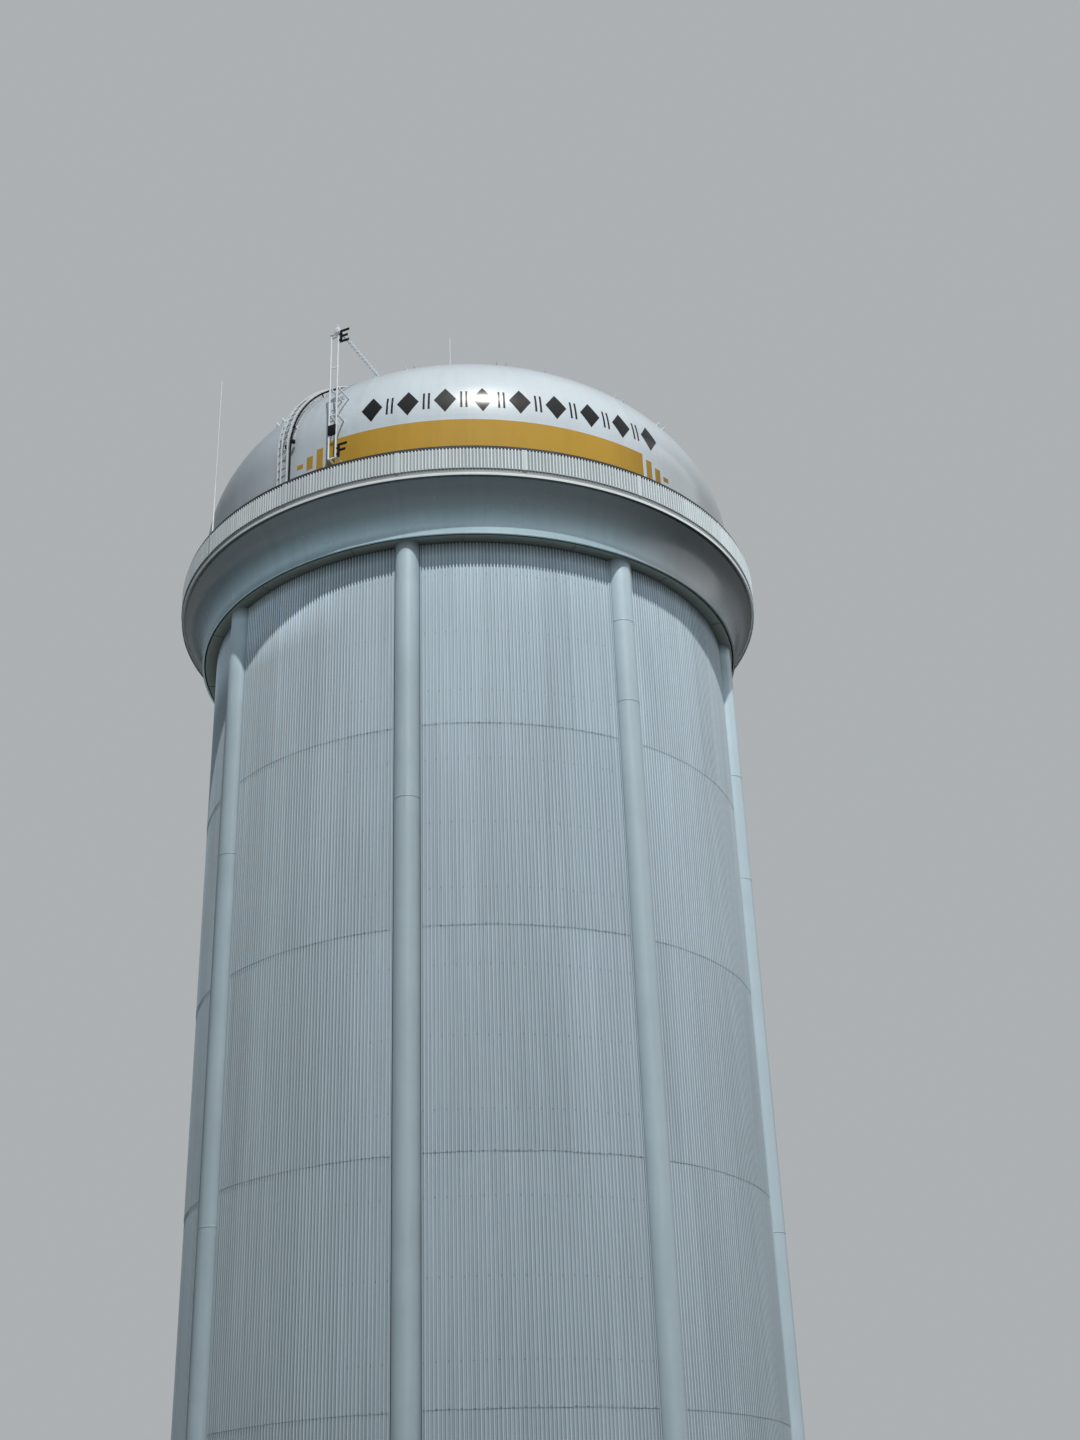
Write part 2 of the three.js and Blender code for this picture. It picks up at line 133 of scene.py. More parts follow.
# Joins rows of points with faces; the rows close on each other if they go all the way round
def skin(shape, rows, closeRows=False, closeAcross=True, tone=0.0):
    layer = shape.faces.layers.float["tone"]
    made = [[shape.verts.new(point) for point in row] for row in rows]
    across = len(made[0])
    steps = len(made) if closeRows else len(made) - 1
    for i in range(steps):
        here, there = made[i], made[(i + 1) % len(made)]
        for j in range(across if closeAcross else across - 1):
            k = (j + 1) % across
            shape.faces.new((here[j], here[k], there[k], there[j]))[layer] = tone
    if not closeRows and closeAcross:
        for row in (made[0], made[-1]):
            shape.faces.new(row)[layer] = tone
    return made


# A profile of (radius, level) points turned round the tower's axis, all the way or between two azimuths
def turned(shape, profile, steps=roundSteps, start=0.0, sweep=360.0):
    full = sweep >= 360
    turns = [math.radians(start + sweep * i / steps) for i in range(steps if full else steps + 1)]
    skin(shape, [[ringPoint(r, turn, z) for r, z in profile] for turn in turns], closeRows=full)


# The same for a profile that starts and ends on the axis, round a place's own +Z
def turnedSolid(shape, profile, steps, place=None):
    place = place or Matrix()
    foot, head = [shape.verts.new(place @ Vector((0, 0, z))) for _, z in (profile[0], profile[-1])]
    turns = [2 * math.pi * i / steps for i in range(steps)]
    rows = [[place @ ringPoint(r, turn, z) for r, z in profile[1:-1]] for turn in turns]
    made = skin(shape, rows, closeRows=True, closeAcross=False)
    for i in range(steps):
        here, there = made[i], made[(i + 1) % steps]
        shape.faces.new((foot, there[0], here[0]))
        shape.faces.new((head, here[-1], there[-1]))


# Corners of a plain ring's profile
def ringBox(inner, outer, bottom, top):
    return [(inner, bottom), (outer, bottom), (outer, top), (inner, top)]


# The same with its upper edges eased
def easedBox(inner, outer, bottom, top, ease):
    upper = [(outer, top - ease), (outer - ease, top), (inner + ease, top), (inner, top - ease)]
    return [(inner, bottom), (outer, bottom), *upper]


# Quarter ellipse from the wall to the axis, rise negative for a dish
def quarter(radius, rise, level, steps):
    turns = [math.pi / 2 * i / steps for i in range(steps)]
    return [(radius * math.cos(t), level + rise * math.sin(t)) for t in turns] + [(0, level + rise)]


# A block between two corners of a place, its edges rounded
def addBlock(shape, place, low, high, ease=softEdge):
    size = [b - a for a, b in zip(low, high)]
    middle = [(a + b) / 2 for a, b in zip(low, high)]
    matrix = place @ Matrix.Translation(middle) @ Matrix.Diagonal((*size, 1))
    made = bmesh.ops.create_cube(shape, size=1, matrix=matrix)["verts"]
    edges = list(dict.fromkeys(edge for vert in made for edge in vert.link_edges))
    bmesh.ops.bevel(shape, geom=edges, offset=ease, segments=2, affect="EDGES", profile=0.5)


# A round bar along points, with flat ends
def addTube(shape, points, radius, sides=12):
    points = [Vector(p) for p in points]
    side = (points[1] - points[0]).normalized().orthogonal().normalized()
    turns = [2 * math.pi * k / sides for k in range(sides)]
    rows = []
    for i, point in enumerate(points):
        before, after = points[max(i - 1, 0)], points[min(i + 1, len(points) - 1)]
        forward = (after - before).normalized()
        side = (side - forward * side.dot(forward)).normalized()
        up = forward.cross(side)
        rows.append([point + (side * math.cos(t) + up * math.sin(t)) * radius for t in turns])
    skin(shape, rows)


hexHead = {"flank": 0.7, "crown": 0.82, "sides": 6}      # shares of the height and of the radius


# A hexagon head or nut that stands on a surface, its axis along the place's own +Z
def addHead(shape, place, radius, height):
    flank = (radius, height * hexHead["flank"])
    profile = [(0, 0), (radius, 0), flank, (radius * hexHead["crown"], height), (0, height)]
    turnedSolid(shape, profile, hexHead["sides"], place)


# A rotation that takes the place's +Z to face -Y, outwards
facingOut = Matrix.Rotation(math.radians(90), 4, "X")


# Node tools for the finishes

noiseLow, noiseHigh = 0.3, 0.7       # most of a noise lies between these


# Sets a node's inputs by name or number, or links them where another node's output is given
def setInputs(tree, node, values):
    for name, value in values.items():
        socket = node.inputs[name]
        if isinstance(value, bpy.types.NodeSocket):
            tree.links.new(value, socket)
        else:
            socket.default_value = (*value, 1) if socket.type == "RGBA" else value


def addNode(tree, kind, values, operation=None):
    node = tree.nodes.new(kind)
    if operation:
        node.operation = operation
    setInputs(tree, node, values)
    return node


def startMaterial(name, roughness, specular=0.5, metallic=0.0):
    material = bpy.data.materials.new(name)
    material.use_nodes = True
    tree = material.node_tree
    tree.nodes.clear()
    values = {"Roughness": roughness, "Specular IOR Level": specular, "Metallic": metallic}
    shader = addNode(tree, "ShaderNodeBsdfPrincipled", values)
    addNode(tree, "ShaderNodeOutputMaterial", {"Surface": shader.outputs["BSDF"]})
    return material, tree, shader


def objectPoint(tree):
    return tree.nodes.new("ShaderNodeTexCoord").outputs["Object"]


def objectVector(tree, scale=(1, 1, 1)):
    values = {"Vector": objectPoint(tree), "Scale": scale}
    return addNode(tree, "ShaderNodeMapping", values).outputs["Vector"]


def vectorMath(tree, kind, values):
    return addNode(tree, "ShaderNodeVectorMath", values, kind)


def flatVector(tree):
    return vectorMath(tree, "MULTIPLY", {0: objectPoint(tree), 1: (1, 1, 0)}).outputs[0]


# A vector that turns with the azimuth round the tower and changes slowly with the level
def radialVector(tree, density, rise):
    unit = vectorMath(tree, "NORMALIZE", {0: flatVector(tree)}).outputs[0]
    wide = vectorMath(tree, "SCALE", {0: unit, "Scale": density}).outputs[0]
    return vectorMath(tree, "MULTIPLY_ADD", {0: objectPoint(tree), 1: (0, 0, rise), 2: wide}).outputs[0]


def noise(tree, vector, scale=1.0, detail=3.0, roughness=0.5):
    values = {"Vector": vector, "Scale": scale, "Detail": detail, "Roughness": roughness}
    return addNode(tree, "ShaderNodeTexNoise", values).outputs["Fac"]


# Maps a factor from one range to another, clamped
def spread(tree, factor, fromLow, fromHigh, toLow=0.0, toHigh=1.0):
    values = {"Value": factor, "From Min": fromLow, "From Max": fromHigh, "To Min": toLow, "To Max": toHigh}
    return addNode(tree, "ShaderNodeMapRange", values).outputs["Result"]


# Maps the usual range of a noise
def between(tree, source, low=0.0, high=1.0):
    return spread(tree, source, noiseLow, noiseHigh, low, high)


def combine(tree, kind, first, second):
    return addNode(tree, "ShaderNodeMath", {0: first, 1: second}, kind).outputs[0]


def times(tree, first, second):
    return combine(tree, "MULTIPLY", first, second)


def plus(tree, first, second):
    return combine(tree, "ADD", first, second)


# Lets a noise move a factor up and down by an amount
def stirred(tree, factor, source, amount):
    return plus(tree, factor, between(tree, source, -amount, amount))


# Roughness that wanders with a noise, down and up by a look's two steps
def wandering(tree, source, look):
    return between(tree, source, *[look["roughness"] + step for step in look["roughSteps"]])


def blend(tree, factor, first, second, kind="MIX"):
    node = tree.nodes.new("ShaderNodeMix")
    node.data_type = "RGBA"
    node.blend_type = kind
    setInputs(tree, node, {"Factor": factor, "A": first, "B": second})
    return node.outputs["Result"]


# Multiplies a colour by a grey factor
def shade(tree, colour, factor):
    grey = addNode(tree, "ShaderNodeCombineColor", {channel: factor for channel in range(3)})
    return blend(tree, 1.0, colour, grey.outputs["Color"], "MULTIPLY")


# A value kept on the mesh, face by face
def meshValue(tree, name):
    node = tree.nodes.new("ShaderNodeAttribute")
    node.attribute_name = name
    return node.outputs["Fac"]


def sideOf(tree):
    return addNode(tree, "ShaderNodeSeparateXYZ", {0: objectPoint(tree)}).outputs["X"]


def levelOf(tree):
    return addNode(tree, "ShaderNodeSeparateXYZ", {0: objectPoint(tree)}).outputs["Z"]


# Distance from the tower's axis
def radiusOf(tree):
    return vectorMath(tree, "LENGTH", {0: flatVector(tree)}).outputs["Value"]


# Multiplies a factor by a look's bands. A band by level, radius or side says (from, to, factor there,
# factor there). A corner band says (side from, side to, level none, level full, factor) and works where
# both reach their full end; the level may run down as well as up.
# In the looks below, these bands paint light and shade into the colour
def banded(tree, factor, look):
    for key, measure in (("levelBands", levelOf), ("radiusBands", radiusOf), ("sideBands", sideOf)):
        for start, end, low, high in look.get(key, ()):
            factor = times(tree, factor, spread(tree, measure(tree), start, end, low, high))
    for start, end, none, full, tone in look.get("cornerBands", ()):
        sideward, upward = spread(tree, sideOf(tree), start, end), spread(tree, levelOf(tree), none, full)
        factor = times(tree, factor, spread(tree, times(tree, sideward, upward), 0.0, 1.0, 1.0, tone))
    return factor


def bump(tree, shader, height, distance):
    node = addNode(tree, "ShaderNodeBump", {"Distance": distance, "Height": height})
    tree.links.new(node.outputs["Normal"], shader.inputs["Normal"])


# Finishes


# Ribbed sheet: factory paint, a tone of its own for each sheet, and thin runs of dirt down the ribs
def sheetPaint(name, look):
    material, tree, shader = startMaterial(name, look["roughness"], look["specular"])
    around = radialVector(tree, look["runDensity"], look["runRise"])
    runs = noise(tree, around, detail=4.0, roughness=0.6)
    stretched = objectVector(tree, look["patchStretch"])
    patches = noise(tree, stretched, look["patchScale"], detail=4.0, roughness=0.55)
    grain = noise(tree, objectVector(tree), look["grainScale"], detail=2.0)
    factor = 1.0
    for source, amount in ((runs, look["runs"]), (patches, look["patches"]), (grain, look["grain"])):
        factor = stirred(tree, factor, source, amount)
    factor = plus(tree, factor, times(tree, meshValue(tree, "tone"), look["sheetTone"]))
    # painted shade: the valleys darker than the crests, and darker still towards the sides by the valley
    # bands
    dirtAndShade = meshValue(tree, "dirtAndShade")
    factor = times(tree, factor, spread(tree, dirtAndShade, 0.0, 1.0, look["crest"], look["valley"]))
    factor = banded(tree, factor, look)
    for start, end, low, high in look["valleyBands"]:
        deep = times(tree, dirtAndShade, spread(tree, sideOf(tree), start, end, low, high))
        factor = times(tree, factor, plus(tree, deep, 1.0))
    dust = spread(tree, patches, *look["dustFrom"], 0.0, look["dust"])
    dusty = blend(tree, dust, look["colour"], look["dustColour"])
    values = {"Base Color": shade(tree, dusty, factor), "Roughness": wandering(tree, runs, look)}
    setInputs(tree, shader, values)
    bump(tree, shader, grain, look["grainDepth"])
    return material


# Paint on plate: soft patches, runs, and an orange peel
def platePaint(name, look):
    material, tree, shader = startMaterial(name, look["roughness"], look["specular"])
    if look.get("coat"):
        setInputs(tree, shader, {"Coat Weight": look["coat"], "Coat Roughness": look["coatRoughness"]})
    clouds = noise(tree, objectVector(tree), look["cloudScale"], detail=5.0, roughness=0.6)
    around = radialVector(tree, look["runDensity"], look["runRise"])
    runs = noise(tree, around, detail=3.0, roughness=0.55)
    grain = noise(tree, objectVector(tree), look["grainScale"], detail=2.0)
    factor = stirred(tree, stirred(tree, 1.0, clouds, look["clouds"]), runs, look["runs"])
    factor = banded(tree, factor, look)
    if look.get("weldShade"):
        # painted shade under each weld bead and down a leg's shaded side
        for value, tone in (("tone", look["weldShade"]), ("dirtAndShade", look["sideShade"])):
            factor = times(tree, factor, spread(tree, meshValue(tree, value), 0.0, 1.0, 1.0, tone))
    dirty = times(tree, spread(tree, runs, *look["dirtRuns"]), spread(tree, clouds, *look["dirtClouds"]))
    colour = blend(tree, times(tree, dirty, look["dirtAndShade"]), look["colour"], look["dirtColour"])
    values = {"Base Color": shade(tree, colour, factor), "Roughness": wandering(tree, clouds, look)}
    setInputs(tree, shader, values)
    bump(tree, shader, grain, look["grainDepth"])
    return material


# Zinc with its spangle, or bare steel
def zincFinish(name, look):
    material, tree, shader = startMaterial(name, look["roughness"], metallic=look["metallic"])
    values = {"Vector": objectVector(tree), "Scale": look["spangleScale"]}
    spangle = addNode(tree, "ShaderNodeTexVoronoi", values).outputs["Distance"]
    clouds = noise(tree, objectVector(tree), look["cloudScale"], detail=4.0)
    factor = plus(tree, spread(tree, spangle, 0.0, 1.0, -look["fleck"], look["fleck"]), 1.0)
    factor = stirred(tree, factor, clouds, look["clouds"])
    values = {"Base Color": shade(tree, look["colour"], factor), "Roughness": wandering(tree, clouds, look)}
    setInputs(tree, shader, values)
    return material


# Cast concrete, paler in patches and damp along its foot
def concreteFinish(name, look):
    material, tree, shader = startMaterial(name, look["roughness"], look["specular"])
    clouds = noise(tree, objectVector(tree), look["cloudScale"], detail=6.0, roughness=0.65)
    sand = noise(tree, objectVector(tree), look["sandScale"], detail=3.0, roughness=0.7)
    damp = spread(tree, levelOf(tree), 0.0, look["dampHeight"], look["damp"], 0.0)
    damp = times(tree, damp, spread(tree, clouds, *look["dampClouds"]))
    colour = blend(tree, between(tree, clouds), look["colour"], look["paleColour"])
    colour = blend(tree, damp, colour, look["dampColour"])
    grey = between(tree, sand, *look["sandTones"])
    setInputs(tree, shader, {"Base Color": shade(tree, colour, grey)})
    bump(tree, shader, sand, look["sandDepth"])
    return material


seams = (3.2875, 6.325, 9.3625, 12.40)       # levels of the laps between the rows of wall sheets
sheetLook = {
    "colour": (0.375, 0.458, 0.518), "roughness": 0.44, "roughSteps": (-0.06, 0.08), "specular": 0.5,
    "dustColour": (0.33, 0.408, 0.463), "dust": 0.5, "dustFrom": (0.35, 0.75),
    "runDensity": 190.0, "runRise": 0.35, "runs": 0.10,
    "patchScale": 0.7, "patchStretch": (1, 1, 0.45), "patches": 0.06,
    "grainScale": 45.0, "grain": 0.03, "grainDepth": 0.0006,
    # painted shade: the valleys darker than the crests
    "sheetTone": 0.045, "crest": 1.03, "valley": 0.85,
    # painted light and shade: darker low down, lighter high up, paler in the shade under the soffit, darkest
    # right under it
    "levelBands": [(0.0, 20.0, 0.68, 1.40), (14.3, 15.2, 1.0, 1.08), (15.24, 15.44, 1.0, 0.39)],
    # painted light in the left bay's shade under the balcony, and painted shade in the right bay's
    "cornerBands": [(-2.4, -3.6, 14.2, 14.8, 1.7), (2.4, 3.4, 14.4, 15.0, 0.86)],
    # painted light and shade by side: lighter on the left, lighter and then darker on the right
    "sideBands": [(-3.0, -1.0, 1.14, 1.0), (1.2, 2.2, 1.0, 1.11), (2.6, 4.2, 1.0, 0.88)],
    # painted shade in the valleys, deeper towards both sides
    "valleyBands": [(-4.2, -1.6, -1.2, 0.0), (1.6, 4.2, 0.0, -1.1)],
}
# painted shade: a dark line under each lap, on the right
lapShade = {"from": 0.4, "to": 1.3, "above": 0.004, "below": 0.012, "soft": 0.001, "tone": 0.84}
for seam in seams:
    line = ((seam + lapShade["above"], lapShade["tone"]), (seam - lapShade["below"], 1 / lapShade["tone"]))
    for level, tone in line:
        band = (lapShade["from"], lapShade["to"], level + lapShade["soft"], level, tone)
        sheetLook["cornerBands"].append(band)
parapetLook = {
    **sheetLook, "colour": (0.52, 0.595, 0.635), "dustColour": (0.44, 0.48, 0.49),
    # painted shade: the valleys far darker than the crests
    "runs": 0.12, "sheetTone": 0.05, "crest": 1.22, "valley": 0.52,
    "levelBands": [], "cornerBands": [], "valleyBands": [],
    # painted shade on the left and painted light on the right
    "sideBands": [(-4.8, -2.0, 0.76, 1.0), (0.4, 2.0, 1.0, 1.07)],
}
legLook = {
    "colour": (0.352, 0.443, 0.50), "roughness": 0.42, "roughSteps": (-0.05, 0.08), "specular": 0.5,
    "dirtColour": (0.22, 0.26, 0.28), "dirtAndShade": 0.5, "dirtRuns": (0.5, 0.8), "dirtClouds": (0.4, 0.7),
    "cloudScale": 1.3, "clouds": 0.055, "runDensity": 60.0, "runRise": 0.5, "runs": 0.03,
    # the weld and side values paint shade under the weld beads and down each leg's shaded side
    "grainScale": 60.0, "grainDepth": 0.0005, "weldShade": 0.85, "sideShade": 0.70,
    # painted light and shade by level: darker low down, lighter high up, darkest right under the soffit
    "levelBands": [(0.0, 20.0, 0.68, 1.14), (13.0, 15.2, 1.0, 1.20), (15.24, 15.44, 1.0, 0.36)],
    # painted light and shade by side: darker on the left, lightest on the right
    "sideBands": [(-4.2, -1.2, 0.96, 1.0), (-1.4, 1.4, 1.0, 1.12), (3.0, 3.8, 1.0, 1.20)],
    # painted light in the shade at the top of the left legs, painted shade at the top of the right ones
    "cornerBands": [(-3.4, -3.8, 14.3, 14.9, 1.24), (3.4, 3.8, 14.5, 15.0, 0.66)],
}
plateLook = {
    "roughSteps": (-0.05, 0.08), "dirtRuns": (0.5, 0.8), "dirtClouds": (0.4, 0.7), "grainScale": 30.0,
}
tankLook = {
    **plateLook, "colour": (0.545, 0.62, 0.68), "dirtColour": (0.33, 0.34, 0.33), "dirtAndShade": 0.45,
    "roughness": 0.36, "specular": 0.22, "coat": 0.95, "coatRoughness": 0.16,
    "cloudScale": 0.75, "clouds": 0.04, "runDensity": 42.0, "runRise": 0.25, "runs": 0.045,
    "grainDepth": 0.0012,
    # painted shade on both sides, most on the left, and low down on the right
    "sideBands": [(-4.4, -1.6, 0.68, 1.0), (-4.6, -3.7, 0.60, 1.0), (1.8, 4.3, 1.0, 0.66)],
    "cornerBands": [(1.4, 2.8, 18.35, 17.5, 0.5)],
}
skirtLook = {
    # the tank's white paint made darker: painted shade for the undersides
    **plateLook, "colour": (0.252, 0.325, 0.362), "dirtColour": (0.155, 0.18, 0.192), "dirtAndShade": 0.5,
    "roughness": 0.24, "specular": 0.7, "cloudScale": 0.8, "clouds": 0.05,
    "runDensity": 34.0, "runRise": 0.3, "runs": 0.06, "grainDepth": 0.001,
}
coveLook = {
    # the tank's white paint made darker: painted shade
    **skirtLook, "colour": (0.243, 0.325, 0.366),
    # painted light and shade by level: dark at the top where the cove faces down, lighter lower down, toned
    # down at its sunlit foot
    "levelBands": [(15.60, 16.15, 1.15, 0.40), (15.64, 15.95, 1.85, 1.10), (15.53, 15.62, 0.80, 1.0)],
    # painted shade low down on the right
    "cornerBands": [(2.7, 3.6, 16.12, 15.93, 0.68)],
    # painted light and shade by side: darker at the far left and towards the right
    "sideBands": [
        (-4.7, -3.4, 0.72, 1.0), (-3.6, -1.0, 1.06, 1.0), (-0.6, 1.6, 1.0, 0.82), (1.4, 2.7, 1.0, 0.40),
    ],
}
soffitLook = {
    **skirtLook, "colour": (0.135, 0.165, 0.155), "dirtColour": (0.09, 0.09, 0.075), "dirtAndShade": 0.6,
    # painted shade: darker towards the wall, deeper under the balcony
    "roughness": 0.6, "specular": 0.3, "radiusBands": [(4.28, 4.50, 0.55, 1.45)],
}
rimLook = {
    # the white paint made lighter: its own white with a painted highlight
    **skirtLook, "colour": (0.72, 0.78, 0.79), "dirtColour": (0.34, 0.34, 0.32), "dirtAndShade": 0.4,
    "roughness": 0.35, "specular": 0.5,
    # painted shade above the band, under the parapet, and on the left
    "levelBands": [(16.276, 16.282, 1.0, 0.42)], "sideBands": [(-4.8, -3.2, 0.68, 1.0)],
}
whiteLook = {
    **skirtLook, "colour": (0.62, 0.665, 0.71), "dirtColour": (0.42, 0.41, 0.38), "dirtAndShade": 0.4,
    "roughness": 0.38, "specular": 0.5, "cloudScale": 6.0,
}
goldLook = {
    # it keeps the tank's painted shade by side
    **tankLook, "colour": (0.45, 0.27, 0.036), "dirtColour": (0.28, 0.17, 0.04), "dirtAndShade": 0.3,
    "roughness": 0.6, "specular": 0.15, "coat": 0.0,
}
markLook = {
    # it keeps the tank's painted shade by side
    **tankLook, "colour": (0.004, 0.005, 0.007), "dirtColour": (0.015, 0.015, 0.015), "dirtAndShade": 0.2,
    "roughness": 0.5, "specular": 0.1, "coat": 0.45,
}
blackLook = {
    **whiteLook, "colour": (0.006, 0.007, 0.009), "dirtColour": (0.025, 0.025, 0.024),
    "roughness": 0.75, "specular": 0.12,
}
zincLook = {
    "colour": (0.33, 0.345, 0.355), "roughness": 0.48, "roughSteps": (-0.08, 0.1), "metallic": 0.85,
    "spangleScale": 90.0, "fleck": 0.12, "cloudScale": 5.0, "clouds": 0.10,
}
darkSteelLook = {**zincLook, "colour": (0.022, 0.024, 0.027), "roughness": 0.7, "metallic": 0.0}
concreteLook = {
    "colour": (0.30, 0.285, 0.26), "paleColour": (0.44, 0.425, 0.39), "roughness": 0.9, "specular": 0.3,
    "dampColour": (0.17, 0.155, 0.13), "damp": 0.7, "dampHeight": 0.16, "dampClouds": (0.35, 0.65),
    "cloudScale": 2.2, "sandScale": 60.0, "sandDepth": 0.003, "sandTones": (0.88, 1.08),
}

finish = {
    "sheet": sheetPaint("sheetPaint", sheetLook),
    "parapet": sheetPaint("parapetPaint", parapetLook),
    "leg": platePaint("legPaint", legLook),
    "tank": platePaint("tankPaint", tankLook),
    "skirt": platePaint("skirtPaint", skirtLook),
    "cove": platePaint("covePaint", coveLook),
    "soffit": platePaint("soffitPaint", soffitLook),
    "rim": platePaint("rimPaint", rimLook),
    "white": platePaint("gaugeWhite", whiteLook),
    "gold": platePaint("beltGold", goldLook),
    "mark": platePaint("markBlack", markLook),
    "black": platePaint("fittingBlack", blackLook),
    "zinc": zincFinish("galvanized", zincLook),
    "darkSteel": zincFinish("darkSteel", darkSteelLook),
    "concrete": concreteFinish("castConcrete", concreteLook),
}
print("finishes made:", len(finish))


# Legs: pipe in welded courses on a bolted base flange

legPipe = {
    "flangeThickness": 0.025, "edge": 0.002, "fillet": 0.008, "filletTop": 0.02,
    "beadHeight": 0.0045, "beadWidth": 0.018, "beadToe": 0.004, "beadShade": 0.3,
    "boltCount": 8, "boltRadius": 0.015, "nutHeight": 0.016,
    "studHeight": 0.034, "studRadius": 0.008, "studTip": 0.006, "studSides": 10,
    # the painted shaded side: azimuths where this painted shade starts and ends, and the degrees it takes to
    # come and go
    "shadedSideStart": -5, "shadedSideEnd": 150, "shadedSideComes": 60, "shadedSideGoes": 50,
    # levels of the welds between courses, leg by leg
    "welds": [
        (2.30, 13.007, 14.370), (5.86, 11.26, 13.03), (2.30, 7.60, 13.00), (5.86, 11.26),
        (2.30, 7.60, 13.00), (5.86, 11.26), (5.863, 11.25), (2.40, 11.257),
    ],
}


# Radius of the pipe, from the part of the first leg above its flange
def pipeRadius():
    back = standing(legs["firstAzimuth"], legCircle).inverted()
    points = [back @ v.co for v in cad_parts["column_1"].data.vertices]
    return max(math.hypot(p.x, p.y) for p in points if p.z > legPipe["flangeThickness"] * 2)


shaftRadius = pipeRadius()


def limited(value):
    return min(1, max(0, value))


# Marks on a leg's faces the painted shade under each weld bead and down its shaded side
def markLeg(shape, centre, welds):
    tone, dirtAndShade = [shape.faces.layers.float[value] for value in ("tone", "dirtAndShade")]
    half = legPipe["beadWidth"] / 2
    for face in shape.faces:
        spot = face.calc_center_median()
        turn = math.degrees(math.atan2(spot.x - centre.x, centre.y - spot.y))
        comes = limited((turn - legPipe["shadedSideStart"]) / legPipe["shadedSideComes"])
        face[dirtAndShade] = comes * limited((legPipe["shadedSideEnd"] - turn) / legPipe["shadedSideGoes"])
        for weld in welds:
            if -half - legPipe["beadToe"] < spot.z - weld < half * legPipe["beadShade"]:
                face[tone] = 1.0


def buildLeg(index):
    node = f"column_{index + 1}"
    reach = nodeReach(node)
    place = standing(legAzimuth(index), (reach["inner"] + reach["outer"]) / 2)
    flange = localReach(node, place)[1].x
    step, edge, fillet = legPipe["flangeThickness"], legPipe["edge"], legPipe["fillet"]
    half, toe = legPipe["beadWidth"] / 2, legPipe["beadToe"]
    profile = [
        (0, 0), (flange, 0), (flange, step - edge), (flange - edge, step), (shaftRadius + fillet, step),
        (shaftRadius, step + fillet), (shaftRadius, step + legPipe["filletTop"]),
    ]
    for level in legPipe["welds"][index]:
        profile.append((shaftRadius, level - half - toe))
        for share in (-1, -0.5, 0, 0.5, 1):
            bulge = legPipe["beadHeight"] * (1 - share * share)
            profile.append((shaftRadius + bulge, level + half * share))
        profile.append((shaftRadius, level + half + toe))
    profile += [(shaftRadius, reach["top"]), (0, reach["top"])]
    shape = newShape()
    turnedSolid(shape, profile, legs["sides"], place)
    markLeg(shape, place.translation, legPipe["welds"][index])
    boltCircle = (flange + shaftRadius) / 2
    radius, height = legPipe["studRadius"], legPipe["studHeight"]
    stud = [(0, 0), (radius, 0), (radius, height - edge), (legPipe["studTip"], height), (0, height)]
    for k in range(legPipe["boltCount"]):
        turn = Matrix.Rotation(math.radians((k + 0.5) * 360 / legPipe["boltCount"]), 4, "Z")
        spot = place @ turn @ Matrix.Translation((0, -boltCircle, step))
        addHead(shape, spot, legPipe["boltRadius"], legPipe["nutHeight"])
        turnedSolid(shape, stud, legPipe["studSides"], spot)
    addPiece(f"leg_pipe_{index + 1}", shape, finish["leg"], [node])


for legIndex in range(legs["count"]):
    buildLeg(legIndex)
print("legs made")


# Siding: five rows of lapped ribbed sheets in each bay

siding = {
    "ribs": 66,                # in one bay, from leg axis to leg axis
    "ribsPerSheet": 9, "sideLap": 0.42, "firstEdges": (0, 3, 6), "leastRibs": 2,      # in ribs
    "ribDepth": 0.023, "valleyDepth": 0.6, "thickness": 0.0012,
    "seams": seams, "lap": 0.045, "legGap": 0.006, "footJitter": 0.005,
    "lapStand": 0.0050,        # how far a sheet's foot stands off the sheet below it
    "sideStand": 0.0010,
    "screwRows": (0.012, 0.545, 1.52, 2.49),      # above each row's foot
    "screwEvery": 3, "screwRadius": 0.0052, "screwHeight": 0.0050, "screwSink": 0.0005,
    "screwRib": 0.12, "ribJitter": 0.04, "levelJitter": 0.004,
    "trimWidth": 0.013, "trimStand": 0.004, "trimBack": 0.012, "trimTurn": 0.015, "trimSteps": 2,
    # drip flashing: how far out from the crests and up from the foot
    "drip": [(0.014, 0.001), (0.018, -0.010), (0.020, -0.010), (0.016, 0.004), (0.002, 0.010), (0.002, 0.05)],
    "dripBack": 0.01, "dripTurn": 0.35, "dripSteps": 48,
}
# Share of the rib pitch and of the rib depth, one rib
ribOutline = [
    (0.0, 0.0), (0.22, 0.0), (0.28, 0.10), (0.42, 0.92), (0.47, 1.0), (0.70, 1.0), (0.75, 0.92), (0.93, 0.10),
]


# Points along the ribs between two rib counts, as (azimuth, height of the rib)
def ribPoints(start, pitch, fromRib, toRib):
    points = []
    for count in range(math.floor(fromRib), math.ceil(toRib)):
        for share, height in ribOutline:
            if fromRib <= count + share <= toRib:
                points.append((start + (count + share) * pitch, height))
    if toRib == math.floor(toRib):
        points.append((start + toRib * pitch, 0.0))
    return points


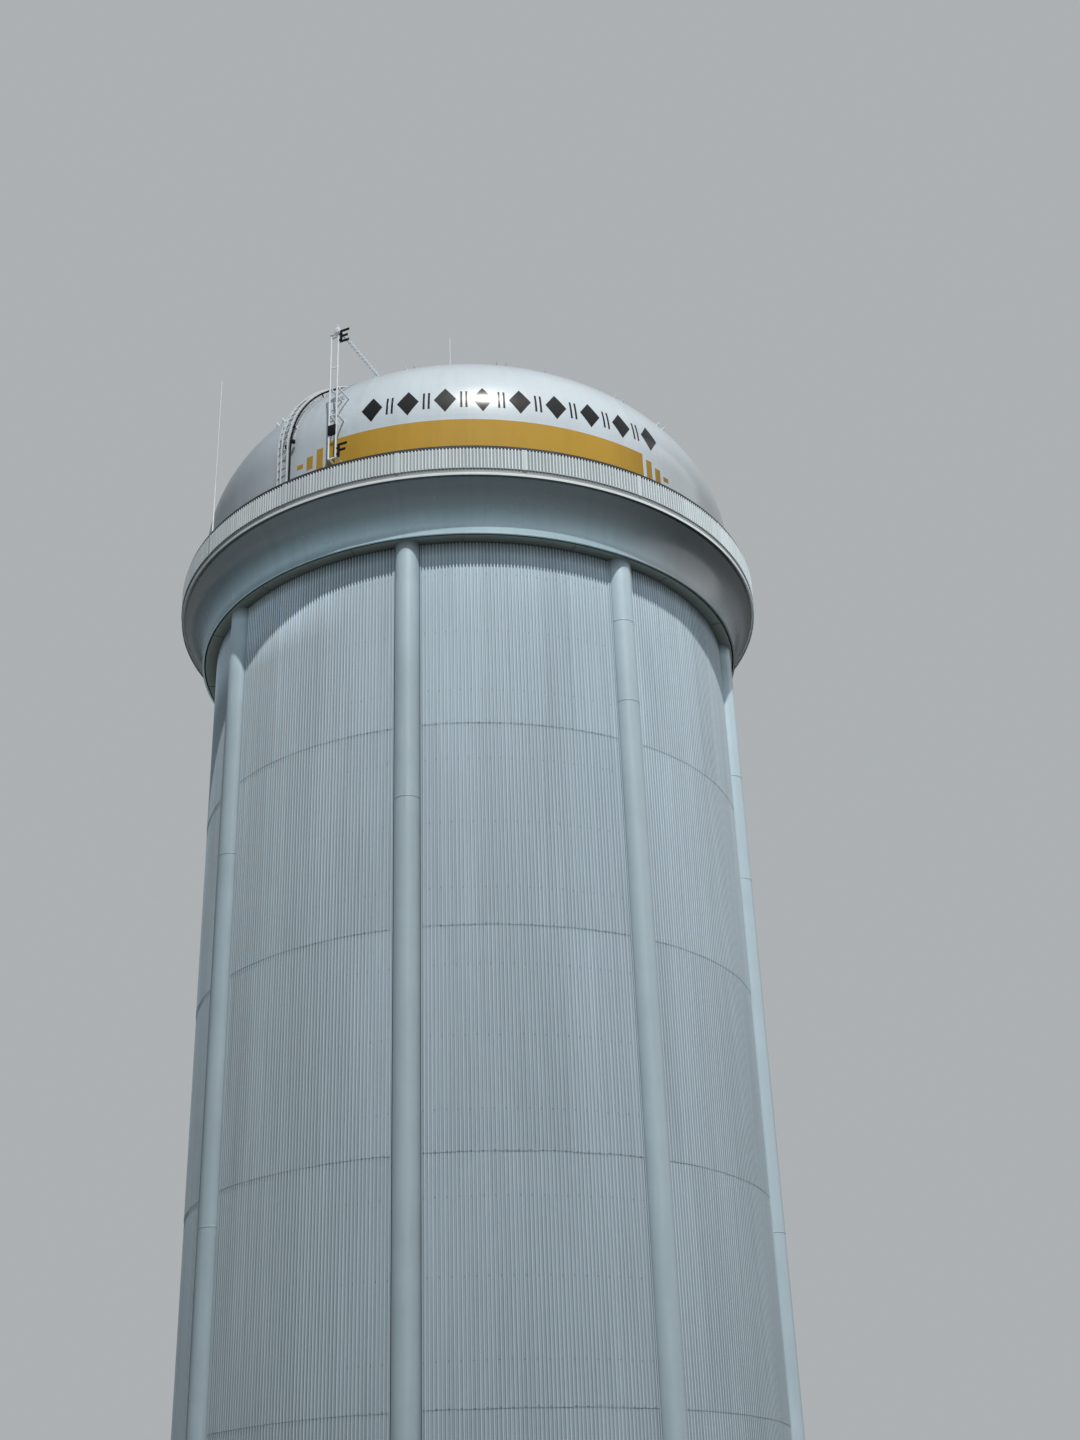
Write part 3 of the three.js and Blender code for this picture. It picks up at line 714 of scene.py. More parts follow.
# One closed sheet between two levels. Its foot may stand further out than its head, and its head may be
# cut lower in the valleys.
def addSheet(shape, look, points, foot, head, footRadius, headRadius, tone, notch=0.0):
    depth, thickness = look["ribDepth"], look["thickness"]
    rows = []
    for azimuth, height in points:
        top = head - notch * (1 - height)
        corners = ringBox(0, -thickness, foot, top)
        row = []
        for (back, level), radius in zip(corners, (footRadius, footRadius, headRadius, headRadius)):
            row.append(ringPoint(radius + back + height * depth, math.radians(azimuth), level))
        rows.append([row[0], row[3], row[2], row[1]])
    before = len(shape.faces)
    skin(shape, rows, tone=tone)
    shape.faces.ensure_lookup_table()
    dirtAndShade = shape.faces.layers.float["dirtAndShade"]
    for i, (here, there) in enumerate(zip(points, points[1:])):
        for k in range(4):
            shape.faces[before + 4 * i + k][dirtAndShade] = 1 - (here[1] + there[1]) / 2


# One row of sheets between two ribs of a bay
def addSheetRow(shape, start, pitch, edges, foot, head, valley, jitter):
    for number, (left, right) in enumerate(zip(edges, edges[1:])):
        points = ribPoints(start, pitch, left, min(right + siding["sideLap"], edges[-1]))
        drop = dice.uniform(-1, 1) * siding["footJitter"] if jitter else 0.0
        side = valley + siding["sideStand"] * (number % 2)
        tone = dice.uniform(-1, 1)
        addSheet(shape, siding, points, foot + drop, head, side + siding["lapStand"], side, tone)


# Rows of screws across the sheets of one row
def addScrews(screws, start, pitch, firstRib, lastRib, foot, head, valley):
    for rise in siding["screwRows"]:
        rib = math.ceil(firstRib) + dice.choice(range(siding["screwEvery"]))
        stand = siding["lapStand"] * (1 - rise / (head - foot)) - siding["screwSink"]
        while rib < lastRib - 1:
            wobble = dice.uniform(-siding["ribJitter"], siding["ribJitter"])
            level = foot + rise + dice.uniform(-siding["levelJitter"], siding["levelJitter"])
            spot = standing(start + (rib + siding["screwRib"] + wobble) * pitch, valley + stand, level)
            addHead(screws, spot @ facingOut, siding["screwRadius"], siding["screwHeight"])
            rib += siding["screwEvery"]


# Corner trims beside the two legs of a bay, and a drip flashing along the foot
def addTrims(trims, start, clearance, valley):
    bottom, top = wall["bottom"], wall["top"]
    crest = valley + siding["ribDepth"] + siding["lapStand"]
    angle = math.degrees(siding["trimWidth"] / wall["outer"])
    profile = ringBox(valley - siding["trimBack"], crest + siding["trimStand"], bottom, top)
    reach = clearance + siding["trimTurn"]
    for azimuth in (start + reach, start + legs["pitch"] - reach - angle):
        turned(trims, profile, siding["trimSteps"], azimuth, angle)
    drip = [(crest + out, bottom + up) for out, up in siding["drip"]]
    back = valley - siding["dripBack"]
    reach = clearance + siding["dripTurn"]
    profile = [(back, drip[0][1]), *drip, (back, drip[-1][1])]
    turned(trims, profile, siding["dripSteps"], start + reach, legs["pitch"] - 2 * reach)


def buildBay(index):
    start = legAzimuth(index)
    pitch = legs["pitch"] / siding["ribs"]
    clearance = math.degrees(math.asin((shaftRadius + siding["legGap"]) / legCircle))
    firstRib = clearance / pitch
    lastRib = siding["ribs"] - firstRib
    valley = wall["outer"] - siding["ribDepth"] * siding["valleyDepth"]
    feet = [wall["bottom"], *siding["seams"]]
    heads = [level + siding["lap"] for level in siding["seams"]] + [wall["top"]]
    shape, screws, trims = newShape(), newShape(), newShape()
    least = siding["leastRibs"]
    for row, (foot, head) in enumerate(zip(feet, heads)):
        joints = range(dice.choice(siding["firstEdges"]), siding["ribs"], siding["ribsPerSheet"])
        inside = [joint for joint in joints if firstRib + least < joint < lastRib - least]
        addSheetRow(shape, start, pitch, [firstRib, *inside, lastRib], foot, head, valley, row > 0)
        addScrews(screws, start, pitch, firstRib, lastRib, foot, head, valley)
    addTrims(trims, start, clearance, valley)
    node = f"cladding_{index + 1}"
    addPiece(f"siding_bay_{index + 1}", shape, finish["sheet"], [node], sharp=25)
    addPiece(f"siding_screws_{index + 1}", screws, finish["darkSteel"])
    addPiece(f"siding_trim_{index + 1}", trims, finish["leg"])


for bayIndex in range(legs["count"]):
    buildBay(bayIndex)
print("siding made")


# Concrete curb under the siding, with a pocket round each leg

curbWall = {"legRoom": 0.01, "edge": 0.012, "step": 1.0, "pocketSteps": 24}


# The curb's outer edge as (azimuth, radius), with a round pocket at each leg
def curbOutline():
    pocket = (firstLeg["outer"] - firstLeg["inner"]) / 2 + curbWall["legRoom"]
    widest = math.degrees(math.asin(pocket / legCircle))
    cornerAt = legCircle * math.cos(math.radians(widest))
    gap = legs["pitch"] - 2 * widest
    steps = round(gap / curbWall["step"])
    outline = []
    for index in range(legs["count"]):
        middle = legAzimuth(index)
        outline += [(middle - widest, curb["outer"]), (middle - widest, cornerAt)]
        for k in range(1, curbWall["pocketSteps"]):
            angle = -widest + 2 * widest * k / curbWall["pocketSteps"]
            out = legCircle * math.cos(math.radians(angle))
            room = max(pocket**2 - (legCircle * math.sin(math.radians(angle))) ** 2, 0)
            outline.append((middle + angle, out - math.sqrt(room)))
        outline += [(middle + widest, cornerAt), (middle + widest, curb["outer"])]
        outline += [(middle + widest + gap * k / steps, curb["outer"]) for k in range(1, steps)]
    return outline


def buildCurb():
    rows = []
    for azimuth, radius in curbOutline():
        profile = easedBox(curb["inner"], radius, 0.0, curb["top"], curbWall["edge"])
        rows.append([ringPoint(r, math.radians(azimuth), z) for r, z in profile])
    shape = newShape()
    skin(shape, rows, closeRows=True)
    addPiece("curb_ring", shape, finish["concrete"], ["foundation_curb"], sharp=40)


buildCurb()
print("curb made")


# Soffit, cove skirt, rim and deck of the balcony

balcony = {
    "soffitIn": 0.03, "soffitTaper": 0.06, "soffitLip": 0.03,
    "barHalf": 0.004, "barDepth": 0.012, "barInset": 0.012, "barSink": 0.002,
    "skirtPlate": 0.03, "skirtSteps": 28, "skirtGap": 0.0002, "lipHeight": 0.016, "lipStand": 0.023,
    "groove": 0.04, "grooveBack": 0.032,
    "rimBandTop": 16.278, "rimBandRadius": 4.90, "rimWebRadius": 4.8875, "rimFlange": 0.03, "rimEase": 0.004,
    "rimLip": 0.006, "rimDrop": 0.003, "rimEdge": 0.003, "rimGap": 0.0003, "rimStep": 0.002,
    "rimRound": (0.3, 0.7),
    "plankCount": 72, "plankGap": 0.004, "plankSteps": 4, "plankInset": 0.002, "plankEdge": 0.003,
}


def buildSoffit():
    low, top = girder["bottom"], girder["top"]
    inner, outer = wall["inner"] - balcony["soffitIn"], girder["outer"]
    profile = [
        (inner, low), (outer, low), (outer, top), (inner + balcony["soffitTaper"], top),
        (inner, low + balcony["soffitLip"]),
    ]
    shape = newShape()
    turned(shape, profile)
    # stiffening flat bars under the plate, two in each bay
    half, depth, inset = balcony["barHalf"], balcony["barDepth"], balcony["barInset"]
    for index in range(2 * legs["count"]):
        place = standing(legs["firstAzimuth"] + (index + 0.5) * legs["pitch"] / 2)
        corner = (half, -(wall["outer"] + inset), low + balcony["barSink"])
        addBlock(shape, place, (-half, -(outer - inset), low - depth), corner)
    addPiece("soffit_ring", shape, finish["soffit"], ["ring_girder"])


def buildSkirt():
    edge = rim["inner"] - balcony["skirtGap"]
    plate, stand, back = balcony["skirtPlate"], balcony["lipStand"], balcony["grooveBack"]
    bottom = girder["bottom"]
    lip, lipTop = girder["outer"] + plate, bottom + balcony["lipHeight"]
    flare = edge - lip + stand
    rise, innerRise = rim["bottom"] - bottom, deck["bottom"] - bottom
    grooveTop = bottom + rise + balcony["groove"]
    # a narrow upright lip round the soffit, with the cove set back behind it
    outside = [(lip, bottom), (lip, lipTop), (lip - stand, lipTop)]
    inside = []
    for i in range(balcony["skirtSteps"] + 1):
        turn = math.pi / 2 * i / balcony["skirtSteps"]
        inside.append((edge - (flare + plate) * math.cos(turn), bottom + innerRise * math.sin(turn)))
        # the plate stops short of the rim and leaves a dark groove there
        point = (edge - flare * math.cos(turn), bottom + rise * math.sin(turn))
        if i > 0 and point[0] <= edge - back:
            outside.append(point)
    outside += [(edge - back, bottom + rise), (edge - back, grooveTop), (edge, grooveTop)]
    shape = newShape()
    turned(shape, [*outside, *reversed(inside)])
    addPiece("cove_skirt", shape, finish["cove"], ["balcony_skirt"], sharp=50)


def buildRim():
    inner, low, top = rim["inner"], rim["bottom"], rim["top"]
    band, web = balcony["rimBandRadius"], balcony["rimWebRadius"]
    bandTop, ease, edge = balcony["rimBandTop"], balcony["rimEase"], balcony["rimEdge"]
    back, groove = band - balcony["rimLip"], low + balcony["groove"]
    lip, flange = parapet["inner"] - balcony["rimGap"], top - balcony["rimFlange"]
    across, down = balcony["rimRound"]
    profile = [
        (inner, groove), (back, groove), (back, low - balcony["rimDrop"]), (band - ease, low - ease),
        (band - ease * across, low - ease * down), (band, low), (band, bandTop - ease),
        (band - ease, bandTop), (web, bandTop + balcony["rimStep"]), (web, flange), (lip, flange),
        (lip, top - edge), (lip - edge, top), (inner, top),
    ]
    shape = newShape()
    turned(shape, profile)
    nodes = [f"balcony_rim_{index + 1}" for index in range(legs["count"])]
    addPiece("rim_channel", shape, finish["rim"], nodes)


def buildDeck():
    share = 360 / balcony["plankCount"]
    gap = math.degrees(balcony["plankGap"] / deck["outer"])
    inner, outer = deck["inner"] + balcony["plankInset"], deck["outer"] - balcony["plankInset"]
    profile = easedBox(inner, outer, deck["bottom"], deck["top"], balcony["plankEdge"])
    shape = newShape()
    for index in range(balcony["plankCount"]):
        turned(shape, profile, balcony["plankSteps"], index * share + gap / 2, share - gap)
    addPiece("deck_plates", shape, finish["zinc"], ["balcony_floor"])


buildSoffit()
buildSkirt()
buildRim()
buildDeck()
print("balcony made")


# Parapet: ribbed sheets, cover strips, a dark top rail and posts

railing = {
    "ribs": 594, "ribDepth": 0.0155, "thickness": 0.0012, "sheetRibs": 9, "sideLap": 0.42, "endGap": 0.05,
    "sideStand": 0.0009, "edgeJitter": 0.003, "headAbove": 0.008, "notch": 0.022, "valleyIn": 0.001,
    "coverEvery": 22.5, "coverWidth": 0.05, "coverDepth": 0.020, "coverDrop": 0.002, "coverEase": 0.003,
    "coverSteps": 3, "coverValleyShare": 0.35, "thinCover": -15.5, "thinShare": 3,
    "railHeight": 0.046, "railDepth": 0.026, "railAbove": 0.064, "railBack": 0.004, "midRail": 0.012,
    "postCount": 24, "postWidth": 0.022, "postSink": 0.004, "footDepth": 1.6, "footHeight": 0.007,
    "postIn": 0.001, "seatGap": 0.0002,
}


def buildParapet():
    pitch = 360 / railing["ribs"]
    valley = parapet["outer"] - railing["ribDepth"] - railing["valleyIn"]
    ribsEach = railing["ribs"] / legs["count"]
    for index in range(legs["count"]):
        shape = newShape()
        count, number = 0.0, 0
        while count < ribsEach:
            last = min(count + railing["sheetRibs"], ribsEach)
            end = min(last + railing["sideLap"], ribsEach - railing["endGap"])
            points = ribPoints(index * legs["pitch"], pitch, count, end)
            radius = valley + railing["sideStand"] * (number % 2)
            top = parapet["top"] + railing["headAbove"] - dice.uniform(0, railing["edgeJitter"])
            bottom = parapet["bottom"] + dice.uniform(0, railing["edgeJitter"])
            tone = dice.uniform(-1, 1)
            addSheet(shape, railing, points, bottom, top, radius, radius, tone, railing["notch"])
            count, number = last, number + 1
        name, node = f"parapet_sheets_{index + 1}", f"parapet_{index + 1}"
        addPiece(name, shape, finish["parapet"], [node], sharp=25)


def buildCovers():
    outer, drop, ease = parapet["outer"], railing["coverDrop"], railing["coverEase"]
    back, bottom = outer - railing["coverDepth"], parapet["bottom"] - drop
    top = parapet["top"] + railing["headAbove"]
    profile = [(back, bottom), (outer, bottom), (outer, top - drop), (outer - ease, top), (back, top)]
    half = math.degrees(railing["coverWidth"] / 2 / outer)
    spots = [(k * railing["coverEvery"], half) for k in range(round(360 / railing["coverEvery"]))]
    spots.append((railing["thinCover"], half / railing["thinShare"]))
    shape = newShape()
    for azimuth, reach in spots:
        turned(shape, profile, railing["coverSteps"], azimuth - reach, 2 * reach)
    # the covers take part of the valleys' painted shade
    dirtAndShade = shape.faces.layers.float["dirtAndShade"]
    for face in shape.faces:
        face[dirtAndShade] = railing["coverValleyShare"]
    addPiece("parapet_covers", shape, finish["parapet"])


def buildTopRail():
    outer = parapet["outer"] - railing["ribDepth"] - railing["railBack"]
    inner = outer - railing["railDepth"]
    top = parapet["top"] + railing["railAbove"]
    foot = top - railing["railHeight"]
    shape = newShape()
    turned(shape, easedBox(inner, outer, foot, top, softEdge))
    width, front = railing["postWidth"], railing["postIn"] - outer
    seat = rim["top"] + railing["seatGap"]
    for index in range(railing["postCount"]):
        place = standing((index + 0.5) * 360 / railing["postCount"])
        corner = (width / 2, front + width, foot + railing["postSink"])
        addBlock(shape, place, (-width / 2, front, seat), corner)
        corner = (width, front + width * railing["footDepth"], rim["top"] + railing["footHeight"])
        addBlock(shape, place, (-width, front, seat), corner)
    middle = (rim["top"] + foot) / 2
    turned(shape, ringBox(inner, outer, middle, middle + railing["midRail"]))
    addPiece("parapet_rail", shape, finish["darkSteel"], ["parapet_frame"])


buildParapet()
buildCovers()
buildTopRail()
print("parapet made")


# Tank: wall ring, domed roof, dished bottom, and the painted belt and diamonds

dome = {
    "radius": tank["outer"], "shoulder": roof["bottom"], "rise": roof["top"] - roof["bottom"],
    "plate": 0.02, "steps": 60, "innerSteps": 12, "dishSteps": 24, "dishSides": 96,
}


# A point of the tank's outside by level, at a distance off it; below the shoulder it is the upright wall
def tankPoint(level, azimuth, lift):
    share = max(0.0, (level - dome["shoulder"]) / dome["rise"])
    radius = dome["radius"] * math.sqrt(max(0.0, 1 - share * share))
    normal = Vector((radius / dome["radius"] ** 2, share / dome["rise"])).normalized()
    return ringPoint(radius + lift * normal.x, math.radians(azimuth), level + lift * normal.y)


def buildTankWall():
    shape = newShape()
    turned(shape, ringBox(tank["inner"], tank["outer"], tank["bottom"], tank["top"]))
    addPiece("tank_wall", shape, finish["tank"], ["tank_shell"])


def buildDome():
    radius, rise, plate, level = dome["radius"], dome["rise"], dome["plate"], dome["shoulder"]
    inside = quarter(radius - plate, rise - plate, level, dome["innerSteps"])
    shape = newShape()
    turnedSolid(shape, [*reversed(inside), *quarter(radius, rise, level, dome["steps"])], roundSteps)
    addPiece("tank_dome", shape, finish["tank"], ["tank_roof"], sharp=40)


def buildDish():
    reach = nodeReach("tank_bottom")
    top, drop = reach["top"], reach["top"] - reach["bottom"]
    outside = quarter(tank["outer"], -drop, top, dome["dishSteps"])
    inside = quarter(tank["inner"], dome["plate"] - drop, top, dome["innerSteps"])
    shape = newShape()
    turnedSolid(shape, [*reversed(outside), *inside], dome["dishSides"])
    addPiece("tank_dish", shape, finish["skirt"], ["tank_bottom"])


# The painted design: a plain gold belt with stepped ends, and diamonds between pairs of bars over it
belt = {
    "low": 16.955, "high": 17.51, "from": -38.6, "to": 27.5, "lift": 0.0009, "sink": 0.0006,
    "azimuthStep": 0.7, "levelStep": 0.06,
    "endBlocks": 3, "endWidth": 1.5, "endGap": 0.9, "endShrink": 0.14,
    "markLow": 17.66, "markHigh": 18.18, "markFrom": -29.0, "markTo": 30.0, "markCount": 9,
    "diamondWidth": 4.4, "diamondSteps": 8, "barWidth": 0.42, "barOffset": 0.5, "barInset": 0.16,
}


# A film of paint over the tank; the map gives azimuth and level for u and v from 0 to 1
def addFilm(shape, mapping, across, up):
    top, under = [], []
    for film, lift in ((top, belt["lift"]), (under, -belt["sink"])):
        for i in range(across + 1):
            spots = [mapping(i / across, j / up) for j in range(up + 1)]
            film.append([shape.verts.new(tankPoint(level, azimuth, lift)) for azimuth, level in spots])
    for i in range(across):
        for j in range(up):
            shape.faces.new((top[i][j], top[i + 1][j], top[i + 1][j + 1], top[i][j + 1]))
            shape.faces.new((under[i][j], under[i][j + 1], under[i + 1][j + 1], under[i + 1][j]))
    for i in range(across):
        shape.faces.new((top[i][0], under[i][0], under[i + 1][0], top[i + 1][0]))
        shape.faces.new((top[i][up], top[i + 1][up], under[i + 1][up], under[i][up]))
    for j in range(up):
        shape.faces.new((top[0][j], top[0][j + 1], under[0][j + 1], under[0][j]))
        shape.faces.new((top[across][j], under[across][j], under[across][j + 1], top[across][j + 1]))


def addStripe(shape, start, end, low, high):
    steps = max(2, round((end - start) / belt["azimuthStep"]))
    rows = max(1, round((high - low) / belt["levelStep"]))
    addFilm(shape, lambda u, v: (start + (end - start) * u, low + (high - low) * v), steps, rows)


def addDiamond(shape, azimuth, low, high):
    middle, half = (low + high) / 2, (high - low) / 2
    reach, steps = belt["diamondWidth"] / 2, belt["diamondSteps"]
    addFilm(shape, lambda u, v: (azimuth + reach * (u - v), middle + half * (u + v - 1)), steps, steps)


def buildBelt():
    shape = newShape()
    first, last, low, high = belt["from"], belt["to"], belt["low"], belt["high"]
    addStripe(shape, first, last, low, high)
    for k in range(belt["endBlocks"]):
        gone = (k + 1) * belt["endGap"] + k * belt["endWidth"]
        shrink = (high - low) * belt["endShrink"] * (k + 1)
        addStripe(shape, first - gone - belt["endWidth"], first - gone, low + shrink, high - shrink)
        addStripe(shape, last + gone, last + gone + belt["endWidth"], low + shrink, high - shrink)
    addPiece("tank_belt", shape, finish["gold"], sharp=40)


def buildMarks():
    shape = newShape()
    low, high, half = belt["markLow"], belt["markHigh"], belt["barWidth"] / 2
    step = (belt["markTo"] - belt["markFrom"]) / (belt["markCount"] - 1)
    inset = (high - low) * belt["barInset"]
    for k in range(belt["markCount"]):
        azimuth = belt["markFrom"] + k * step
        addDiamond(shape, azimuth, low, high)
        if k + 1 < belt["markCount"]:
            for side in (-belt["barOffset"], belt["barOffset"]):
                bar = azimuth + step / 2 + side
                addStripe(shape, bar - half, bar + half, low + inset, high - inset)
    addPiece("tank_diamonds", shape, finish["mark"], sharp=40)


# Small lifting lugs on the roof, in pairs where the photo shows them and again at the back
lugs = {
    "size": (0.014, 0.034, 0.058), "foot": (0.028, 0.034, 0.008), "sink": 0.004, "ease": 0.003,
    "pairGap": 0.16,
    "spots": [(-57.8, 18.82), (29.3, 19.01), (40.5, 18.75), (-0.8, 19.35), (11.6, 19.27), (-24.4, 19.31)],
}


def buildLugs():
    shape = newShape()
    wide, deep, height = lugs["size"]
    footWide, footDeep, footHeight = lugs["foot"]
    for azimuth, level in lugs["spots"] + [(a + 180, z) for a, z in lugs["spots"]]:
        spot = tankPoint(level, azimuth, 0.0)
        normal = (tankPoint(level, azimuth, 1.0) - spot).normalized()
        turn = math.radians(azimuth)
        across = Vector((math.cos(turn), math.sin(turn), 0))
        axes = [(*axis, 0) for axis in (across, normal.cross(across), normal)]
        place = Matrix((*axes, (0, 0, 0, 1))).transposed()
        for side in (-0.5, 0.5):
            place.translation = spot + across * lugs["pairGap"] * side
            corner = (-wide / 2, -deep / 2, -lugs["sink"])
            addBlock(shape, place, corner, (wide / 2, deep / 2, height), lugs["ease"])
            addBlock(shape, place, (-footWide, -footDeep, -lugs["sink"]), (footWide, footDeep, footHeight))
    addPiece("roof_lugs", shape, finish["white"])


buildTankWall()
buildDome()
buildDish()
buildBelt()
buildMarks()
buildLugs()
print("tank made")


# Level gauge: rails, arms, head, conduit, letters and the sliding target

gauge = {
    "azimuth": -35.8, "circle": 4.777, "railSpacing": 0.125, "railRadius": 0.015, "railSides": 24,
    "railEase": 0.003, "crossLevels": (17.0, 17.825, 18.35, 18.75, 19.35), "crossHeight": 0.025,
    "armLevels": (17.0, 17.825, 18.35), "armWidth": 0.025, "armSink": 0.012,
    # shares of the rail's radius: the saddles' half width, front and back, the arms' front, the bolts' seat
    "saddleWide": 0.8, "saddleFront": 0.6, "saddleBack": 1.5, "armFront": 0.8, "boltSeat": 1.95,
    "saddleIn": 0.003, "boltRadius": 0.0075, "boltHeight": 0.006,
}
pipe = {
    "level": 19.50, "radius": 0.021, "sides": 16, "steps": 12,
    "bead": 0.085, "beadRadius": 0.029, "beadCrown": 0.031, "beadHalf": 0.012,
}
head = {
    "centre": 0.0525, "width": 0.075, "plate": 0.010, "plateDepth": 0.05, "overlap": 0.01, "boxIn": 0.003,
    "boxEase": 0.006, "lidHeight": 0.016, "lidOver": 0.004, "lidEase": 0.003, "lidLap": 0.012,
    "cheekAt": (-0.016, 0.010), "cheekThick": 0.006, "cheekHalf": 0.03, "cheekHeight": 0.03,
    "cheekSink": 0.002, "wheelRadius": 0.045, "wheelHalf": 0.0075, "wheelSides": 48, "wheelEase": 0.002,
    "hubRadius": 0.012, "hubOut": 0.006, "grooveDepth": 0.009, "grooveHalf": 0.003,
}
target = {
    "plate": 0.003, "lip": 0.005, "lipWidth": 0.004, "tongueGap": 0.0009, "tongueIn": 0.006, "lap": 0.001,
    "screwX": 0.045, "screwZ": 0.03, "screwSeat": 0.0008, "screwRadius": 0.006, "screwHeight": 0.004,
}
gaugePlace = standing(gauge["azimuth"], gauge["circle"])


def gaugeBlock(shape, low, high, ease=softEdge):
    addBlock(shape, gaugePlace, low, high, ease)


def gaugeSpot(x, y, z):
    return gaugePlace @ Matrix.Translation((x, y, z))


def buildGauge():
    low, high = localReach("gauge_rails", gaugePlace)
    half, radius, ease = gauge["railSpacing"] / 2, gauge["railRadius"], gauge["railEase"]
    arm, saddle, inset = gauge["armWidth"] / 2, radius * gauge["saddleWide"], gauge["saddleIn"]
    rail = [
        (0, low.z), (radius - ease, low.z), (radius, low.z + ease), (radius, high.z - ease),
        (radius - ease, high.z), (0, high.z),
    ]
    shape = newShape()
    for x in (-half, half):
        turnedSolid(shape, rail, gauge["railSides"], gaugeSpot(x, 0, 0))
    for level in gauge["crossLevels"]:
        bottom = level - gauge["crossHeight"] / 2
        top = bottom + gauge["crossHeight"]
        gaugeBlock(shape, (-half - radius, radius, bottom), (half + radius, radius * 2, top))
        for x in (-half, half):      # saddles between the rails and the bar
            near = (x - saddle, radius * gauge["saddleFront"], bottom + inset)
            far = (x + saddle, radius * gauge["saddleBack"], top - inset)
            gaugeBlock(shape, near, far, fineEdge)
            if level not in gauge["armLevels"]:
                spot = gaugeSpot(x, radius * gauge["boltSeat"], level) @ facingOut.inverted()
                addHead(shape, spot, gauge["boltRadius"], gauge["boltHeight"])
    for level in gauge["armLevels"]:
        back = gauge["circle"] - math.hypot(*tankPoint(level, 0, 0).xy) + gauge["armSink"]
        for x in (-half, half):
            near = (x - arm, radius * gauge["armFront"], level - arm)
            gaugeBlock(shape, near, (x + arm, back, level + arm))
    addPiece("gauge_frame", shape, finish["white"], ["gauge_rails"])


def buildGaugeHead():
    low, high = localReach("gauge_head", gaugePlace)
    boxTop = high.z - head["wheelRadius"]
    left = head["centre"] - head["width"] / 2
    over, depth = head["lidOver"], head["plateDepth"] / 2
    shape = newShape()
    gaugeBlock(shape, (low.x, -depth, low.z), (left + head["overlap"], depth, low.z + head["plate"]))
    corner = (high.x, high.y, boxTop - head["lidLap"])
    gaugeBlock(shape, (left, low.y + head["boxIn"], low.z), corner, head["boxEase"])
    corner = (left - over, low.y, boxTop - head["lidHeight"])
    gaugeBlock(shape, corner, (high.x + over, high.y, boxTop), head["lidEase"])
    for offset in head["cheekAt"]:
        x = head["centre"] + offset
        corner = (x + head["cheekThick"], head["cheekHalf"], boxTop + head["cheekHeight"])
        gaugeBlock(shape, (x, -head["cheekHalf"], boxTop - head["cheekSink"]), corner)
    radius, thick, ease = head["wheelRadius"], head["wheelHalf"], head["wheelEase"]
    hub, end = head["hubRadius"], thick + head["hubOut"]
    groove = (radius - head["grooveDepth"], head["grooveHalf"])
    side = [(0, end), (hub, end), (hub, thick), (radius - ease, thick), (radius, thick - ease), groove]
    wheel = [*[(r, -z) for r, z in side], *reversed(side)]
    axle = gaugeSpot(head["centre"], 0, boxTop) @ Matrix.Rotation(math.radians(90), 4, "Y")
    turnedSolid(shape, wheel, head["wheelSides"], axle)
    addPiece("gauge_pulley_box", shape, finish["white"], ["gauge_head"])


def buildGaugeConduit():
    low, high = localReach("gauge_conduit", gaugePlace)
    start, length, steps = low.y, high.y - low.y, pipe["steps"]
    x, level = head["centre"], pipe["level"]
    shape = newShape()
    line = [gaugePlace @ Vector((x, start + length * k / steps, level)) for k in range(steps + 1)]
    addTube(shape, line, pipe["radius"], pipe["sides"])
    radius, half = pipe["beadRadius"], pipe["beadHalf"]
    ring = [(0, -half), (radius, -half), (pipe["beadCrown"], 0), (radius, half), (0, half)]
    for k in range(1, int(length / pipe["bead"])):
        turnedSolid(shape, ring, pipe["sides"], gaugeSpot(x, start + k * pipe["bead"], level) @ facingOut)
    addPiece("gauge_pipe", shape, finish["white"], ["gauge_conduit"])


def buildTarget():
    low, high = localReach("gauge_target", gaugePlace)
    plate, lip, inset = target["plate"], target["lipWidth"], target["tongueIn"]
    shape = newShape()
    gaugeBlock(shape, low, (high.x, low.y + plate, high.z), fineEdge)
    for x in (low.x, high.x - lip):
        gaugeBlock(shape, (x, low.y, low.z), (x + lip, low.y + target["lip"], high.z), fineEdge)
    tongue = gauge["railSpacing"] / 2 - gauge["railRadius"] - target["tongueGap"]
    near = (-tongue, low.y + plate - target["lap"], low.z + inset)
    gaugeBlock(shape, near, (tongue, high.y, high.z - inset))
    for x in (-target["screwX"], target["screwX"]):
        for z in (low.z + target["screwZ"], high.z - target["screwZ"]):
            spot = gaugeSpot(x, low.y + target["screwSeat"], z) @ facingOut
            addHead(shape, spot, target["screwRadius"], target["screwHeight"])
    addPiece("target_board", shape, finish["black"], ["gauge_target"], body="level_target")


buildGauge()
buildGaugeHead()
buildGaugeConduit()
buildTarget()
for letter in ("gauge_letter_e", "gauge_letter_f"):
    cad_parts[letter].data.materials.clear()
    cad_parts[letter].data.materials.append(finish["black"])
print("gauge made")


# Ladder over the roof and the dark conduit beside it

ladder = {
    "azimuth": -48.8, "half": 0.10, "stand": 0.085, "foot": 16.3002, "topRadius": 0.65, "steps": 60,
    "stringerWidth": 0.010, "stringerDepth": 0.030, "rungPitch": 0.15, "rungRadius": 0.0075, "rungSides": 10,
    "climbRail": 0.016, "climbFrom": 0.004, "climbTo": 0.022, "clipEvery": 8, "sink": 0.004,
    "clip": (0.006, 0.035, 0.010), "bracketHalf": 0.015, "padHalf": 0.03, "padBack": 0.008,
}
darkPipe = {
    "at": 0.13, "stand": 0.055, "radius": 0.015, "sides": 14, "clamp": (0.022, 0.014, 0.008),
    "stemHalf": 0.006, "boxes": ((0.19, 17.74), (0.055, 17.69)), "box": (0.022, 0.025, 0.03),
    "boxEase": 0.004,
}


